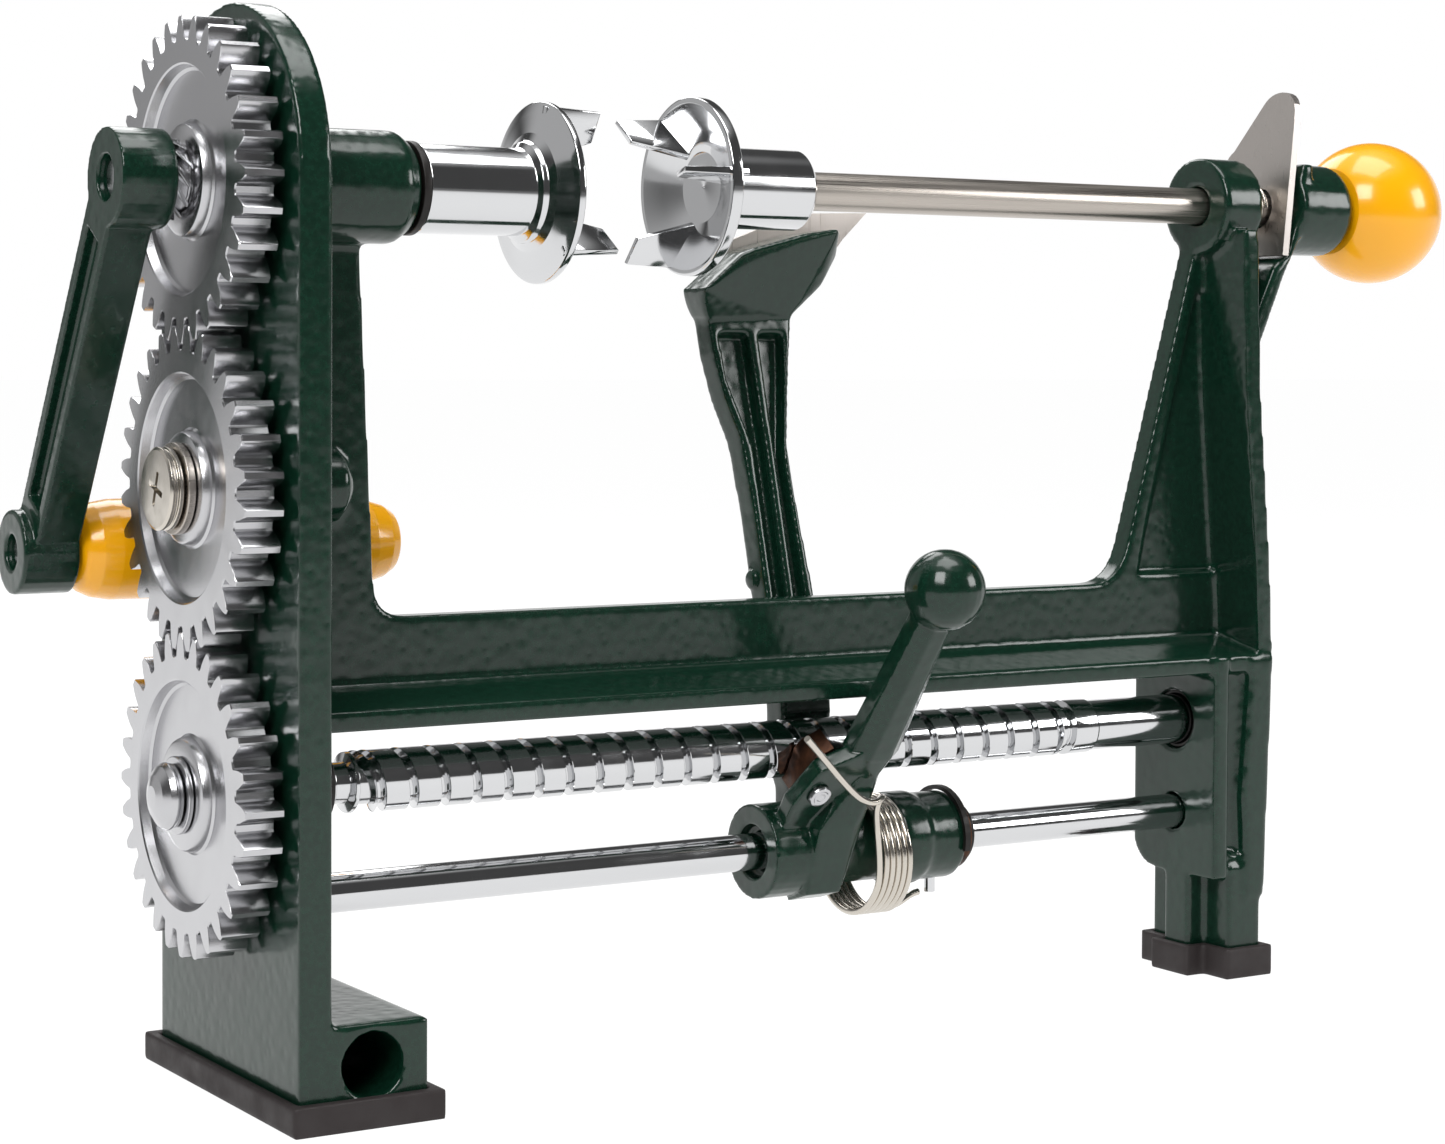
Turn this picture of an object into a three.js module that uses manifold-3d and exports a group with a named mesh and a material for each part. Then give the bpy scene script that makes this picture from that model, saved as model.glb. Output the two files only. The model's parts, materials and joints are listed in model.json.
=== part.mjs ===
// Hand-cranked lathe-type apple peeler: a cast frame, a three-gear train, a fruit spindle with a fork
// at each end, and a sprung knife carriage that rides on a guide rod beside a lead screw.
// Millimetres, +Z up, +X from the gear end to the tailstock, -Y towards the user.
// The origin is the middle of the left foot pad's underside, straight below the spindle axis.
import * as THREE from "three";
import { ConvexGeometry } from "three/addons/geometries/ConvexGeometry.js";
import { mergeVertices } from "three/addons/utils/BufferGeometryUtils.js";
import Module from "manifold-3d";

const wasm = await Module();
wasm.setup();

// ---------------------------------------------------------------- driving dimensions
const GAP = 0.3; // between pieces that touch or run on each other

const SPINDLE_Z = 212; // spindle axis above the table
const GEAR_CENTRES = 70.5; // distance between neighbouring gear axes
const IDLER_Z = SPINDLE_Z - GEAR_CENTRES;
const SCREW_Z = IDLER_Z - GEAR_CENTRES;
const TAIL_Z = SPINDLE_Z + 3; // the tail rod's axis sits a little above the spindle's
const GUIDE_Z = 45;

const GEAR_MODULE = 2.5;
const GEAR_TEETH = 28;
const GEAR_X = -27; // outer face of the gears
const GEAR_WIDTH = 9.5;
const GEAR_TEETH_THINNED = 0.12; // taken off each flank so that the teeth run free

const PLATE_X = -15.5; // gear side of the gear plate
const PLATE_THICK = 8;
const PLATE_INNER = PLATE_X + PLATE_THICK;
const PLATE_HALF = 41; // half width, and radius of the rounded top

const WEB_REAR = 7.5; // the beam and column web lies between these two planes
const WEB_FRONT = 2.5;
const RIM_FRONT = 0.5; // raised rim round the web
const LIP_FRONT = -17; // front edge of the beam's and column's flange
const BEAM_BOTTOM = 85;
const BEAM_TOP = 109.7;

const CASTING_BASE = 3; // underside of the casting, inside the pads
const FOOT_REACH = 16; // +X end of the left foot block
const FOOT_HEIGHT = 23;
const CLAMP_HOLE = { x: 2.4, z: 13.4, r: 7.5, depth: 50 };

const SPINDLE_BOSS = { r: 13.5, nose: 10.8, shoulder: 25.5, end: 29.5 };
const IDLER_BOSS = { r: 8, nose: 5, shoulder: 12, end: 14.5 };
const SMALL_BOSS_END = 6; // bosses of the lead screw and the guide rod

const TAIL_BOSS = { r: 13.5, start: 277, end: 290.4 };
const KNOB_BOSS = { r: 13, start: 306.5, end: 327 };
const END_PLATE = { x: 270.3, thick: 5, front: -18, rear: 16.5, bottom: 28 };
const CHANNEL_FLOOR = -14.5; // depth of the channel between the end plate and the column's flange

const SPINDLE_R = 7;
const SPINDLE_THREAD_R = 5;
const BUSH_R = 9.5;
const SCREW_R = 7.5;
const SCREW_SHANK_R = 7;
const GUIDE_R = 4.75;
const TAIL_ROD_R = 5;
const END_BUSH = { r: 8, start: 271.6 }; // thin liner of the lead screw's far bearing
const FORK_DISC_R = 22.3;
const FORK_TUBE_R = 10.7;

const CRANK_LENGTH = 104;
const CRANK_ANGLE = THREE.MathUtils.degToRad(32.5); // from hanging straight down, towards the rear
const CRANK_X = -45; // outer face of the crank
const CRANK_THICK = 11;
const GRIP_Y = CRANK_LENGTH * Math.sin(CRANK_ANGLE);
const GRIP_Z = SPINDLE_Z - CRANK_LENGTH * Math.cos(CRANK_ANGLE);

const KNIFE_NECK = { r: 10.3, start: 147.6, end: 170 };
const KNIFE_SLEEVE = { r: 12.4, end: 190 };
const KNIFE_LEAN = THREE.MathUtils.degToRad(15);
const KNIFE_ARM_X = 152.2; // middle of the arm's width
const LEVER_HUB = { r: 12.2, start: 129.5, end: 147.3 };
const LEVER_LEAN = THREE.MathUtils.degToRad(34);
const LEVER_X = 153; // plane of the lever's stem at its foot
const LEVER_LEAN_X = 0.045; // how far the stem leans towards the tailstock, per unit of length
const LEVER_BALL = { r: 10.2, reach: 84 }; // ball centre's distance from the guide rod's axis

// ---------------------------------------------------------------- solids
function solid(geometry) {
  const bare = geometry.index ? geometry.toNonIndexed() : geometry.clone();
  for (const name of Object.keys(bare.attributes)) {
    if (name !== "position") bare.deleteAttribute(name);
  }
  const merged = mergeVertices(bare, 1e-4);
  const mesh = new wasm.Mesh({
    numProp: 3,
    vertProperties: merged.attributes.position.array,
    triVerts: new Uint32Array(merged.index.array),
  });
  return new wasm.Manifold(mesh);
}

const join = (...parts) => parts.reduce((sum, part) => sum.add(part));
const cut = (body, ...tools) => tools.reduce((rest, tool) => rest.subtract(tool), body);

const PLACE_XZ = new THREE.Matrix4().makeBasis(
  new THREE.Vector3(1, 0, 0),
  new THREE.Vector3(0, 0, 1),
  new THREE.Vector3(0, -1, 0),
);
const PLACE_YZ = new THREE.Matrix4().makeBasis(
  new THREE.Vector3(0, 1, 0),
  new THREE.Vector3(0, 0, 1),
  new THREE.Vector3(1, 0, 0),
);

function extruded(shape, depth, curveSegments = 8) {
  return new THREE.ExtrudeGeometry(shape, { depth, bevelEnabled: false, curveSegments });
}

// A shape drawn in (x, z), as thick as the stretch from yLow to yHigh.
function slabXZ(shape, yLow, yHigh, curveSegments) {
  return solid(extruded(shape, yHigh - yLow, curveSegments).applyMatrix4(PLACE_XZ).translate(0, yHigh, 0));
}

// A shape drawn in (y, z), as thick as the stretch from xLow to xHigh.
function slabYZ(shape, xLow, xHigh, curveSegments) {
  return solid(extruded(shape, xHigh - xLow, curveSegments).applyMatrix4(PLACE_YZ).translate(xLow, 0, 0));
}

function block(low, high) {
  const size = high.map((value, i) => value - low[i]);
  const middle = high.map((value, i) => (value + low[i]) / 2);
  return solid(new THREE.BoxGeometry(...size).translate(...middle));
}

// A turned piece along X: the profile is a list of [x, radius] from one end to the other.
function turned(profile, y, z, segments = 32) {
  const points = profile.map(([x, r]) => new THREE.Vector2(r, x));
  const lathe = new THREE.LatheGeometry(points, segments);
  const alongX = new THREE.Matrix4().makeBasis(
    new THREE.Vector3(0, 1, 0),
    new THREE.Vector3(1, 0, 0),
    new THREE.Vector3(0, 0, -1),
  );
  return solid(lathe.applyMatrix4(alongX).translate(0, y, z));
}

function bar(x0, x1, r, z, segments = 32, y = 0) {
  return turned([[x0, 0], [x0, r], [x1, r], [x1, 0]], y, z, segments);
}

function ring(x0, x1, inner, outer, z, segments = 32, y = 0) {
  return cut(bar(x0, x1, outer, z, segments, y), bar(x0 - 1, x1 + 1, inner, z, segments, y));
}

function polygon(points) {
  return new THREE.Shape(points.map(([a, b]) => new THREE.Vector2(a, b)));
}

function hull(points) {
  return solid(new ConvexGeometry(points.map((point) => new THREE.Vector3(...point))));
}

// A rounded wire along a smooth curve through the points.
function wire(points, radius, steps, sides = 6) {
  const section = new THREE.Shape();
  section.absarc(0, 0, radius, 0, 2 * Math.PI, false);
  const path = new THREE.CatmullRomCurve3(points.map((point) => new THREE.Vector3(...point)));
  const options = { steps, curveSegments: sides / 2, extrudePath: path, bevelEnabled: false };
  return solid(new THREE.ExtrudeGeometry(section, options));
}

// Turns a solid about the X axis through (y, z), from +Y towards +Z.
function swung(body, angle, y, z) {
  const degrees = THREE.MathUtils.radToDeg(angle);
  return body.translate(0, -y, -z).rotate(degrees, 0, 0).translate(0, y, z);
}

// ---------------------------------------------------------------- the scene graph
const peeler = new THREE.Group();
peeler.name = "apple_peeler";

const FINISH = {
  enamel: { color: 0x1d4230, roughness: 0.35, metalness: 0.1 },
  chrome: { color: 0xd8dadc, roughness: 0.12, metalness: 1 },
  zinc: { color: 0xb9bbbd, roughness: 0.3, metalness: 1 },
  stainless: { color: 0xb3a79b, roughness: 0.35, metalness: 1 },
  nickel: { color: 0xc4b9a8, roughness: 0.25, metalness: 1 },
  rubber: { color: 0x2b2425, roughness: 0.8, metalness: 0 },
  yellow: { color: 0xf7b90c, roughness: 0.25, metalness: 0 },
  bronze: { color: 0x7a4a30, roughness: 0.4, metalness: 0.8 },
  black: { color: 0x15110f, roughness: 0.5, metalness: 0.2 },
};

function add(name, body, finish) {
  const data = body.getMesh();
  const geometry = new THREE.BufferGeometry();
  const stride = data.numProp;
  const positions = new Float32Array(data.numVert * 3);
  for (let i = 0; i < data.numVert; i += 1) {
    positions.set(data.vertProperties.subarray(i * stride, i * stride + 3), i * 3);
  }
  geometry.setAttribute("position", new THREE.BufferAttribute(positions, 3));
  geometry.setIndex(new THREE.BufferAttribute(new Uint32Array(data.triVerts), 1));
  geometry.computeVertexNormals();
  const mesh = new THREE.Mesh(geometry, new THREE.MeshStandardMaterial(FINISH[finish]));
  mesh.name = name;
  peeler.add(mesh);
}

// ---------------------------------------------------------------- frame casting
function gearPlate() {
  const outline = new THREE.Shape();
  outline.moveTo(-PLATE_HALF, CASTING_BASE);
  outline.lineTo(PLATE_HALF, CASTING_BASE);
  outline.lineTo(PLATE_HALF, SPINDLE_Z);
  outline.absarc(0, SPINDLE_Z, PLATE_HALF, 0, Math.PI, false);
  return slabYZ(outline, PLATE_X, PLATE_INNER, 20);
}

// The web as seen from the front: gusset, beam, column and the bracket of the knob boss in one outline.
function webOutline() {
  const outline = new THREE.Shape();
  outline.moveTo(PLATE_INNER - 1, 203);
  outline.lineTo(PLATE_INNER - 1, BEAM_BOTTOM);
  outline.lineTo(END_PLATE.x, BEAM_BOTTOM);
  outline.lineTo(END_PLATE.x, END_PLATE.bottom);
  outline.lineTo(287, END_PLATE.bottom);
  outline.lineTo(290.5, 89);
  outline.lineTo(289, 115);
  outline.lineTo(285.5, 168);
  outline.lineTo(297, 196);
  outline.lineTo(312, 203);
  outline.lineTo(312, 211);
  outline.lineTo(306.5, 211);
  outline.lineTo(303, 201);
  outline.lineTo(290, 201);
  outline.lineTo(288, 211);
  outline.lineTo(279.8, 211);
  outline.lineTo(254.5, 121);
  outline.quadraticCurveTo(251.5, BEAM_TOP, 241, BEAM_TOP);
  outline.lineTo(31, BEAM_TOP);
  outline.quadraticCurveTo(22.8, BEAM_TOP, 22.4, 118);
  outline.lineTo(18.4, 203);
  return outline;
}

// Shallow pocket in the front of the column, which leaves a raised rim along its sloping edge.
function webPocket() {
  return polygon([
    [258, 112],
    [286, 112],
    [284, 150],
    [281.5, 170],
    [281, 191],
    [278.5, 191],
    [260, 122],
  ]);
}

// Flange along the bottom of the beam: flat below, sloping down towards the front on top.
function beamFlange() {
  const section = polygon([
    [WEB_REAR, BEAM_BOTTOM],
    [WEB_REAR, 94],
    [WEB_FRONT, 94],
    [LIP_FRONT, 89.7],
    [LIP_FRONT, BEAM_BOTTOM],
  ]);
  return slabYZ(section, PLATE_INNER - 1, 288);
}

// Flange up the outer side of the column, from the foot to the tail boss.
function columnFlange() {
  const outer = [[287.4, 10], [290, 50], [292.2, 89], [290.9, 115], [287, 163], [285.5, 208]];
  const inner = outer.map(([x, z]) => [x - 5, z]).reverse();
  return slabXZ(polygon([...outer, ...inner]), LIP_FRONT, WEB_REAR);
}

// Flange under the bracket of the knob boss: it climbs to the boss and up its face.
function bracketFlange() {
  const strip = polygon([
    [284, 163], [288, 167], [301, 196], [311, 214], [311.5, 227.5],
    [307.5, 227.5], [306.8, 216], [303, 203], [297, 198], [284, 172],
  ]);
  return cut(slabXZ(strip, -11, WEB_REAR), block([290.6, -30, 200.8], [302.8, 30, 240]));
}

// The right leg's plan: three blocks side by side, rear to front. grow widens it on every side.
const RIGHT_LEG = [
  { x: [275.2, 284.5], y: [2, 13] },
  { x: [270.3, 288], y: [-7, 3] },
  { x: [276.5, 288], y: [-17, -5] },
];

function rightLeg(grow, bottom, top) {
  const blocks = RIGHT_LEG.map(({ x, y }) =>
    block([x[0] - grow, y[0] - grow, bottom], [x[1] + grow, y[1] + grow, top]),
  );
  return join(...blocks);
}

// Lower column: the end plate that holds the rod and the screw, and the leg below it.
function lowerColumn() {
  const { x, thick, front, rear, bottom } = END_PLATE;
  const plate = new THREE.Shape();
  plate.moveTo(front, 90);
  plate.lineTo(front, bottom);
  plate.lineTo(rear - 9, bottom);
  plate.absarc(rear - 9, bottom + 9, 9, -Math.PI / 2, 0, false);
  plate.lineTo(rear, 90);
  const wall = slabYZ(plate, x, x + thick, 6);
  const cheek = polygon([
    [282.5, bottom - 6], [289.5, bottom - 6], [290.6, 50], [292.2, 89], [284, 89], [281, 50],
  ]);
  const sill = polygon([[x + 1, bottom + 2], [x + 1, bottom + 8], [288, bottom + 4], [288, bottom - 4]]);
  return join(
    wall,
    rightLeg(0, CASTING_BASE, bottom + 3),
    slabXZ(cheek, LIP_FRONT - 0.5, WEB_REAR),
    slabXZ(sill, LIP_FRONT + 1, WEB_REAR),
    block([x, WEB_FRONT - 3, bottom], [287, WEB_REAR, BEAM_BOTTOM + 2]),
    block([x + thick - 1, CHANNEL_FLOOR, bottom + 1], [284, WEB_FRONT, BEAM_BOTTOM + 2]),
  );
}

// A boss on the inner side of the gear plate, with a tapered nose.
function gearBoss({ r, nose, shoulder, end }, z) {
  const start = PLATE_INNER - 1;
  return turned([[start, 0], [start, r], [shoulder, r], [end, nose], [end, 0]], 0, z);
}

function frameCasting() {
  const clamp = CLAMP_HOLE;
  const holeAxis = new THREE.CylinderGeometry(clamp.r, clamp.r, clamp.depth, 32);
  const clampHole = solid(holeAxis.translate(clamp.x, -PLATE_HALF + clamp.depth / 2 - 1, clamp.z));
  const body = join(
    gearPlate(),
    cut(slabXZ(webOutline(), RIM_FRONT, WEB_REAR, 6), slabXZ(webPocket(), RIM_FRONT - 1, WEB_FRONT)),
    beamFlange(),
    columnFlange(),
    bracketFlange(),
    lowerColumn(),
    block([PLATE_INNER - 1, -PLATE_HALF, CASTING_BASE], [FOOT_REACH, PLATE_HALF, FOOT_HEIGHT]),
    gearBoss(SPINDLE_BOSS, SPINDLE_Z),
    gearBoss(IDLER_BOSS, IDLER_Z),
    bar(PLATE_INNER - 1, SMALL_BOSS_END, 12, SCREW_Z, 28),
    bar(PLATE_INNER - 1, SMALL_BOSS_END, 9, GUIDE_Z, 24),
    bar(TAIL_BOSS.start, TAIL_BOSS.end, TAIL_BOSS.r, TAIL_Z, 32),
    turned([[306.5, 0], [306.5, 13], [324, 13], [327, 10.5], [327, 0]], 0, TAIL_Z),
  );
  return cut(
    body,
    clampHole,
    bar(PLATE_X - 1, SPINDLE_BOSS.end + 1, BUSH_R + GAP, SPINDLE_Z, 28),
    bar(PLATE_X - 1, 10, 5 + GAP, IDLER_Z, 20),
    bar(PLATE_X - 1, SMALL_BOSS_END + 1, 9 + GAP, SCREW_Z, 28),
    bar(PLATE_X + 3, SMALL_BOSS_END + 1, GUIDE_R + GAP, GUIDE_Z, 24),
    bar(TAIL_BOSS.start - 1, TAIL_BOSS.end + 1, TAIL_ROD_R + GAP, TAIL_Z, 24),
    bar(KNOB_BOSS.start - 5, KNOB_BOSS.end + 1, TAIL_ROD_R + GAP, TAIL_Z, 24),
    bar(END_PLATE.x - 1, 281, END_BUSH.r + GAP, SCREW_Z, 28),
    bar(END_PLATE.x - 1, 281, GUIDE_R + GAP, GUIDE_Z, 24),
  );
}

function leftFootPad() {
  const wall = 3;
  const low = [PLATE_X - wall, -PLATE_HALF - wall - 0.5, 0];
  const high = [FOOT_REACH + wall, PLATE_HALF + wall + 0.5, 6.8];
  const pocketLow = [PLATE_X - GAP, -PLATE_HALF - GAP, CASTING_BASE - GAP];
  const pocketHigh = [FOOT_REACH + GAP, PLATE_HALF + GAP, 20];
  return cut(block(low, high), block(pocketLow, pocketHigh));
}

function rightFootPad() {
  return cut(rightLeg(2.6, 0, 8.5), rightLeg(GAP, CASTING_BASE - GAP, 20));
}

// ---------------------------------------------------------------- gears
function gearOutline(phase) {
  const pitchR = (GEAR_MODULE * GEAR_TEETH) / 2;
  const pressure = THREE.MathUtils.degToRad(20);
  const baseR = pitchR * Math.cos(pressure);
  const tipR = pitchR + GEAR_MODULE;
  const rootR = pitchR - 1.25 * GEAR_MODULE;
  const involute = (angle) => Math.tan(angle) - angle;
  const halfAt = (r) => {
    const roll = Math.acos(Math.min(1, baseR / r));
    const half = Math.PI / (2 * GEAR_TEETH) + involute(pressure) - involute(roll);
    return half - GEAR_TEETH_THINNED / pitchR;
  };
  const flank = [
    [rootR, halfAt(baseR) + 0.012],
    [baseR + 0.3, halfAt(baseR + 0.3)],
    [pitchR, halfAt(pitchR)],
    [tipR, halfAt(tipR)],
  ];
  const points = [];
  for (let tooth = 0; tooth < GEAR_TEETH; tooth += 1) {
    const middle = (2 * Math.PI * (tooth + phase)) / GEAR_TEETH;
    for (const [r, half] of flank) points.push([r, middle - half]);
    for (const [r, half] of [...flank].reverse()) points.push([r, middle + half]);
  }
  return polygon(points.map(([r, a]) => [r * Math.cos(a), r * Math.sin(a)]));
}

// A gear with a stepped face: flat rim, recess, raised hub.
function gear(z, boreR, phase) {
  const x1 = GEAR_X + GEAR_WIDTH;
  const blank = slabYZ(gearOutline(phase), GEAR_X, x1).translate(0, 0, z);
  const hub = bar(GEAR_X, GEAR_X + 4, 13, z, 36);
  const body = join(cut(blank, bar(GEAR_X - 1, GEAR_X + 2.8, 26, z, 44)), hub);
  return cut(body, bar(GEAR_X - 1, x1 + 1, boreR, z, 28));
}

// ---------------------------------------------------------------- spindle line
function spindleShaft() {
  const profile = [
    [-43, 0], [-43, 4.6], [-42.4, SPINDLE_THREAD_R], [-27.6, SPINDLE_THREAD_R],
    [-27.6, SPINDLE_R], [57, SPINDLE_R], [57, 0],
  ];
  return turned(profile, 0, SPINDLE_Z, 28);
}

// A blade of a fork: a thin plate that stands along X on the disc, its foot wider than its tip.
function prong(degrees, foot, tip, inner, outer) {
  const half = 1.1;
  const low = [
    [foot, -half, inner],
    [foot, half, inner],
    [foot, -half, outer],
    [foot, half, outer],
  ];
  const high = [
    [tip, -half * 0.7, inner + 2],
    [tip, half * 0.7, inner + 2],
    [tip, -half * 0.7, outer - 3.5],
    [tip, half * 0.7, outer - 3.5],
  ];
  const upright = hull([...low, ...high]);
  return upright.rotate(degrees - 90, 0, 0);
}

const flipX = (body) => body.mirror([1, 0, 0]);

const DRIVE_PRONGS = [105, 225, 345];
const TAIL_PRONGS = [52, 172, 292];

function driveFork() {
  const profile = [
    [32, 0], [32, FORK_TUBE_R], [59.5, FORK_TUBE_R], [60.5, 11.3], [62, 11.3], [65.5, FORK_DISC_R - 0.8],
    [66.5, FORK_DISC_R], [68, FORK_DISC_R], [68, 19.5], [66.2, 17], [65.5, 0],
  ];
  const disc = turned(profile, 0, SPINDLE_Z, 40);
  const blades = DRIVE_PRONGS.map((degrees) => prong(degrees, 65, 80.5, 8.5, 20.5));
  const prongs = blades.map((blade) => blade.translate(0, 0, SPINDLE_Z));
  return cut(join(disc, ...prongs), bar(31, 57 + GAP, SPINDLE_R + GAP, SPINDLE_Z, 28));
}

function tailFork() {
  const profile = [
    [113.5, 0], [112, 14], [109, 20.3], [109, FORK_DISC_R + 0.3], [111.5, FORK_DISC_R],
    [115.5, 11.3], [117, 10.3], [141, 10.3], [142.6, 9.2], [142.6, 0],
  ];
  const disc = turned(profile, 0, TAIL_Z, 40);
  const mirrored = TAIL_PRONGS.map((degrees) => prong(degrees, -114, -95.7, 9.5, 21.5));
  const prongs = mirrored.map((blade) => flipX(blade).translate(0, 0, TAIL_Z));
  return cut(join(disc, ...prongs), bar(115.5, 144, TAIL_ROD_R + GAP, TAIL_Z, 24));
}

function starWasher() {
  const points = [];
  const teeth = 14;
  for (let i = 0; i < teeth; i += 1) {
    const a = (2 * Math.PI * i) / teeth;
    points.push([7.6 * Math.cos(a), 7.6 * Math.sin(a)]);
    points.push([9.4 * Math.cos(a + 0.12), 9.4 * Math.sin(a + 0.12)]);
    points.push([9.4 * Math.cos(a + 0.3), 9.4 * Math.sin(a + 0.3)]);
  }
  const washer = slabYZ(polygon(points), -31.4, -27.9).translate(0, 0, SPINDLE_Z);
  return cut(washer, bar(-33, -26, SPINDLE_THREAD_R + GAP, SPINDLE_Z, 24));
}

function crankArm() {
  const half = 7;
  const web = block([CRANK_X, -half, -CRANK_LENGTH], [CRANK_X + CRANK_THICK, half, 0]);
  const recess = block([CRANK_X - 1, -4, -CRANK_LENGTH + 14], [CRANK_X + 3, 4, -15]);
  const placed = swung(cut(web, recess), CRANK_ANGLE, 0, 0).translate(0, 0, SPINDLE_Z);
  const hub = bar(CRANK_X, -31.7, 11.5, SPINDLE_Z, 32);
  const eye = bar(-48, CRANK_X + CRANK_THICK, 10.3, GRIP_Z, 32, GRIP_Y);
  return cut(
    join(placed, hub, eye),
    bar(CRANK_X - 1, -30, SPINDLE_THREAD_R + GAP, SPINDLE_Z, 24),
    bar(-50, -30, 4 + GAP, GRIP_Z, 20, GRIP_Y),
  );
}

const GRIP = { start: -33.6, end: 53.5 };

function crankGrip() {
  const { start, end } = GRIP;
  const profile = [
    [start, 0], [start, 9], [start + 4, 11.2], [start + 16, 12.6], [start + 34, 12.2],
    [start + 58, 11.2], [end - 12, 11.2], [end - 5, 9.8], [end, 8], [end, 0],
  ];
  const bore = bar(start - 1, end + 1, 4 + GAP, GRIP_Z, 20, GRIP_Y);
  const seat = bar(end - 4.5, end + 1, 6.5 + GAP, GRIP_Z, 24, GRIP_Y);
  return cut(turned(profile, GRIP_Y, GRIP_Z, 28), bore, seat);
}

function gripBolt() {
  const { end } = GRIP;
  const profile = [
    [-46, 0], [-46, 4], [end - 4.2, 4], [end - 4.2, 6.5],
    [end - 1.2, 6.5], [end - 0.2, 5], [end - 0.2, 0],
  ];
  return turned(profile, GRIP_Y, GRIP_Z, 20);
}

// ---------------------------------------------------------------- idler and lead screw
function idlerScrew() {
  const profile = [[-33, 0], [-33, 9.2], [-32.6, 9.6], [-29.6, 9.6], [-29.6, 5], [8, 5], [8, 0]];
  const head = turned(profile, 0, IDLER_Z, 28);
  const slots = [0, 90].map((turn) =>
    block([-34, -5.5, -0.9], [-31.2, 5.5, 0.9]).rotate(turn, 0, 0).translate(0, 0, IDLER_Z),
  );
  return cut(head, ...slots);
}

// A spring washer: a ring with a slit.
function splitRing(x0, x1, inner, outer, z) {
  return cut(ring(x0, x1, inner, outer, z, 28), block([x0 - 1, -0.8, z], [x1 + 1, 0.8, z + outer + 1]));
}

function leadScrew() {
  const profile = [
    [-26.2, 0], [-26.2, 6], [-16.6, 6], [-16.6, 6.5], [9.5, 6.5], [9.5, 5], [14, 5],
    [14.8, SCREW_R], [226, SCREW_R], [226.8, 5.6], [229.6, 5.6], [230, 7.4], [238, 7.4],
    [238.4, SCREW_SHANK_R], [278, SCREW_SHANK_R], [278, 0],
  ];
  return cut(turned(profile, 0, SCREW_Z, 28), bar(-28, -6, 3 + GAP, SCREW_Z, 16));
}

function screwBolt() {
  const profile = [
    [-34.2, 0], [-34, 3], [-32.8, 6], [-31.4, 7.6], [-30.8, 7.8], [-30.2, 7.8], [-30.2, 3], [-8, 3], [-8, 0],
  ];
  return turned(profile, 0, SCREW_Z, 24);
}

// ---------------------------------------------------------------- knife carriage
const ARM_BEND = { y: 13.6, z: 80 }; // the arm stands upright up to here, and leans back above

function leanBack(body) {
  const { y, z } = ARM_BEND;
  return swung(body.translate(0, y, z), -KNIFE_LEAN, y, z);
}

const BLADE_SCREWS = [[152, 196], [170, 199]];

// The arm's leaning part: a narrow waist that widens to the head, with a groove on each side of a rib.
function armBlade() {
  const x = KNIFE_ARM_X;
  const outline = polygon([
    [x - 7.4, -3], [x + 8.4, -3], [x + 8.2, 30], [x + 6.8, 52], [x + 6.4, 70], [x + 9, 84], [x + 11, 94],
    [x + 13.6, 106], [x - 13.4, 106], [x - 13.2, 96], [x - 11.6, 84], [x - 8.2, 72], [x - 7.2, 52],
  ]);
  const grooves = [
    polygon([
      [x - 4.6, 6], [x - 1, 6], [x - 0.8, 66], [x - 1.4, 101], [x - 10.6, 101], [x - 9.8, 88], [x - 4.6, 70],
    ]),
    polygon([[x + 2, 6], [x + 5.4, 6], [x + 4.6, 66], [x + 8.6, 90], [x + 10, 101], [x + 2.2, 101]]),
  ];
  return cut(slabXZ(outline, -4, 4), ...grooves.map((groove) => slabXZ(groove, -6, 0.2)));
}

// A pin's shape under the sleeve's far end, where the spring's lower leg ends.
function sleevePin(r, length, z, segments) {
  const pin = new THREE.CylinderGeometry(r, r, length, segments);
  return solid(pin.rotateX(Math.PI / 2).translate(186, 0, z));
}

function knifeArm() {
  const { y, z } = ARM_BEND;
  const x = KNIFE_ARM_X;
  const shank = polygon([
    [147.8, 43], [157.6, 43], [157.8, 60], [x + 8.4, 66],
    [x + 8.4, z + 3], [x - 7.4, z + 3], [x - 7.4, 66], [147.8, 58],
  ]);
  const lower = join(
    slabXZ(shank, y - 4, y + 4),
    block([KNIFE_NECK.start + 0.2, 3, 37], [157.6, y + 4, 50]),
  );
  const nub = bar(x - 9, x - 4, 2.6, 113, 16, 23.5);
  const sleeveProfile = [
    [KNIFE_NECK.end, 0], [KNIFE_NECK.end, KNIFE_SLEEVE.r], [178, KNIFE_SLEEVE.r],
    [179, 11.6], [KNIFE_SLEEVE.end, 11.6], [KNIFE_SLEEVE.end, 0],
  ];
  const sleeve = join(
    bar(KNIFE_NECK.start, KNIFE_NECK.end + 1, KNIFE_NECK.r, GUIDE_Z, 32),
    turned(sleeveProfile, 0, GUIDE_Z),
  );
  const tapped = BLADE_SCREWS.map((place) => alongY(place, 1.4 + GAP, 36, 60));
  return cut(
    join(leanBack(armBlade()), lower, nub, sleeve, knifeHead()),
    bar(KNIFE_NECK.start - 1, KNIFE_SLEEVE.end + 1, GUIDE_R + GAP, GUIDE_Z, 24),
    sleevePin(1.5 + GAP, 8, GUIDE_Z - 10.6, 12),
    ...tapped,
  );
}

// An open clip round the top of the sleeve's end.
function sleeveBand() {
  const band = ring(188.3, KNIFE_SLEEVE.end, 11.6 + GAP, 13, GUIDE_Z, 40);
  return cut(band, block([187, -15, GUIDE_Z - 15], [191, 15, GUIDE_Z - 3]));
}

// The head is a wedge: a low foot on the arm, and a top that overhangs to the front and rises
// towards the tailstock.
const HEAD_TOP = [[130, 190.5], [146, 200], [168, 205.7], [179, 207.3]];
const HEAD_FRONT = 31;
const HEAD_REAR = 45;

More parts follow.
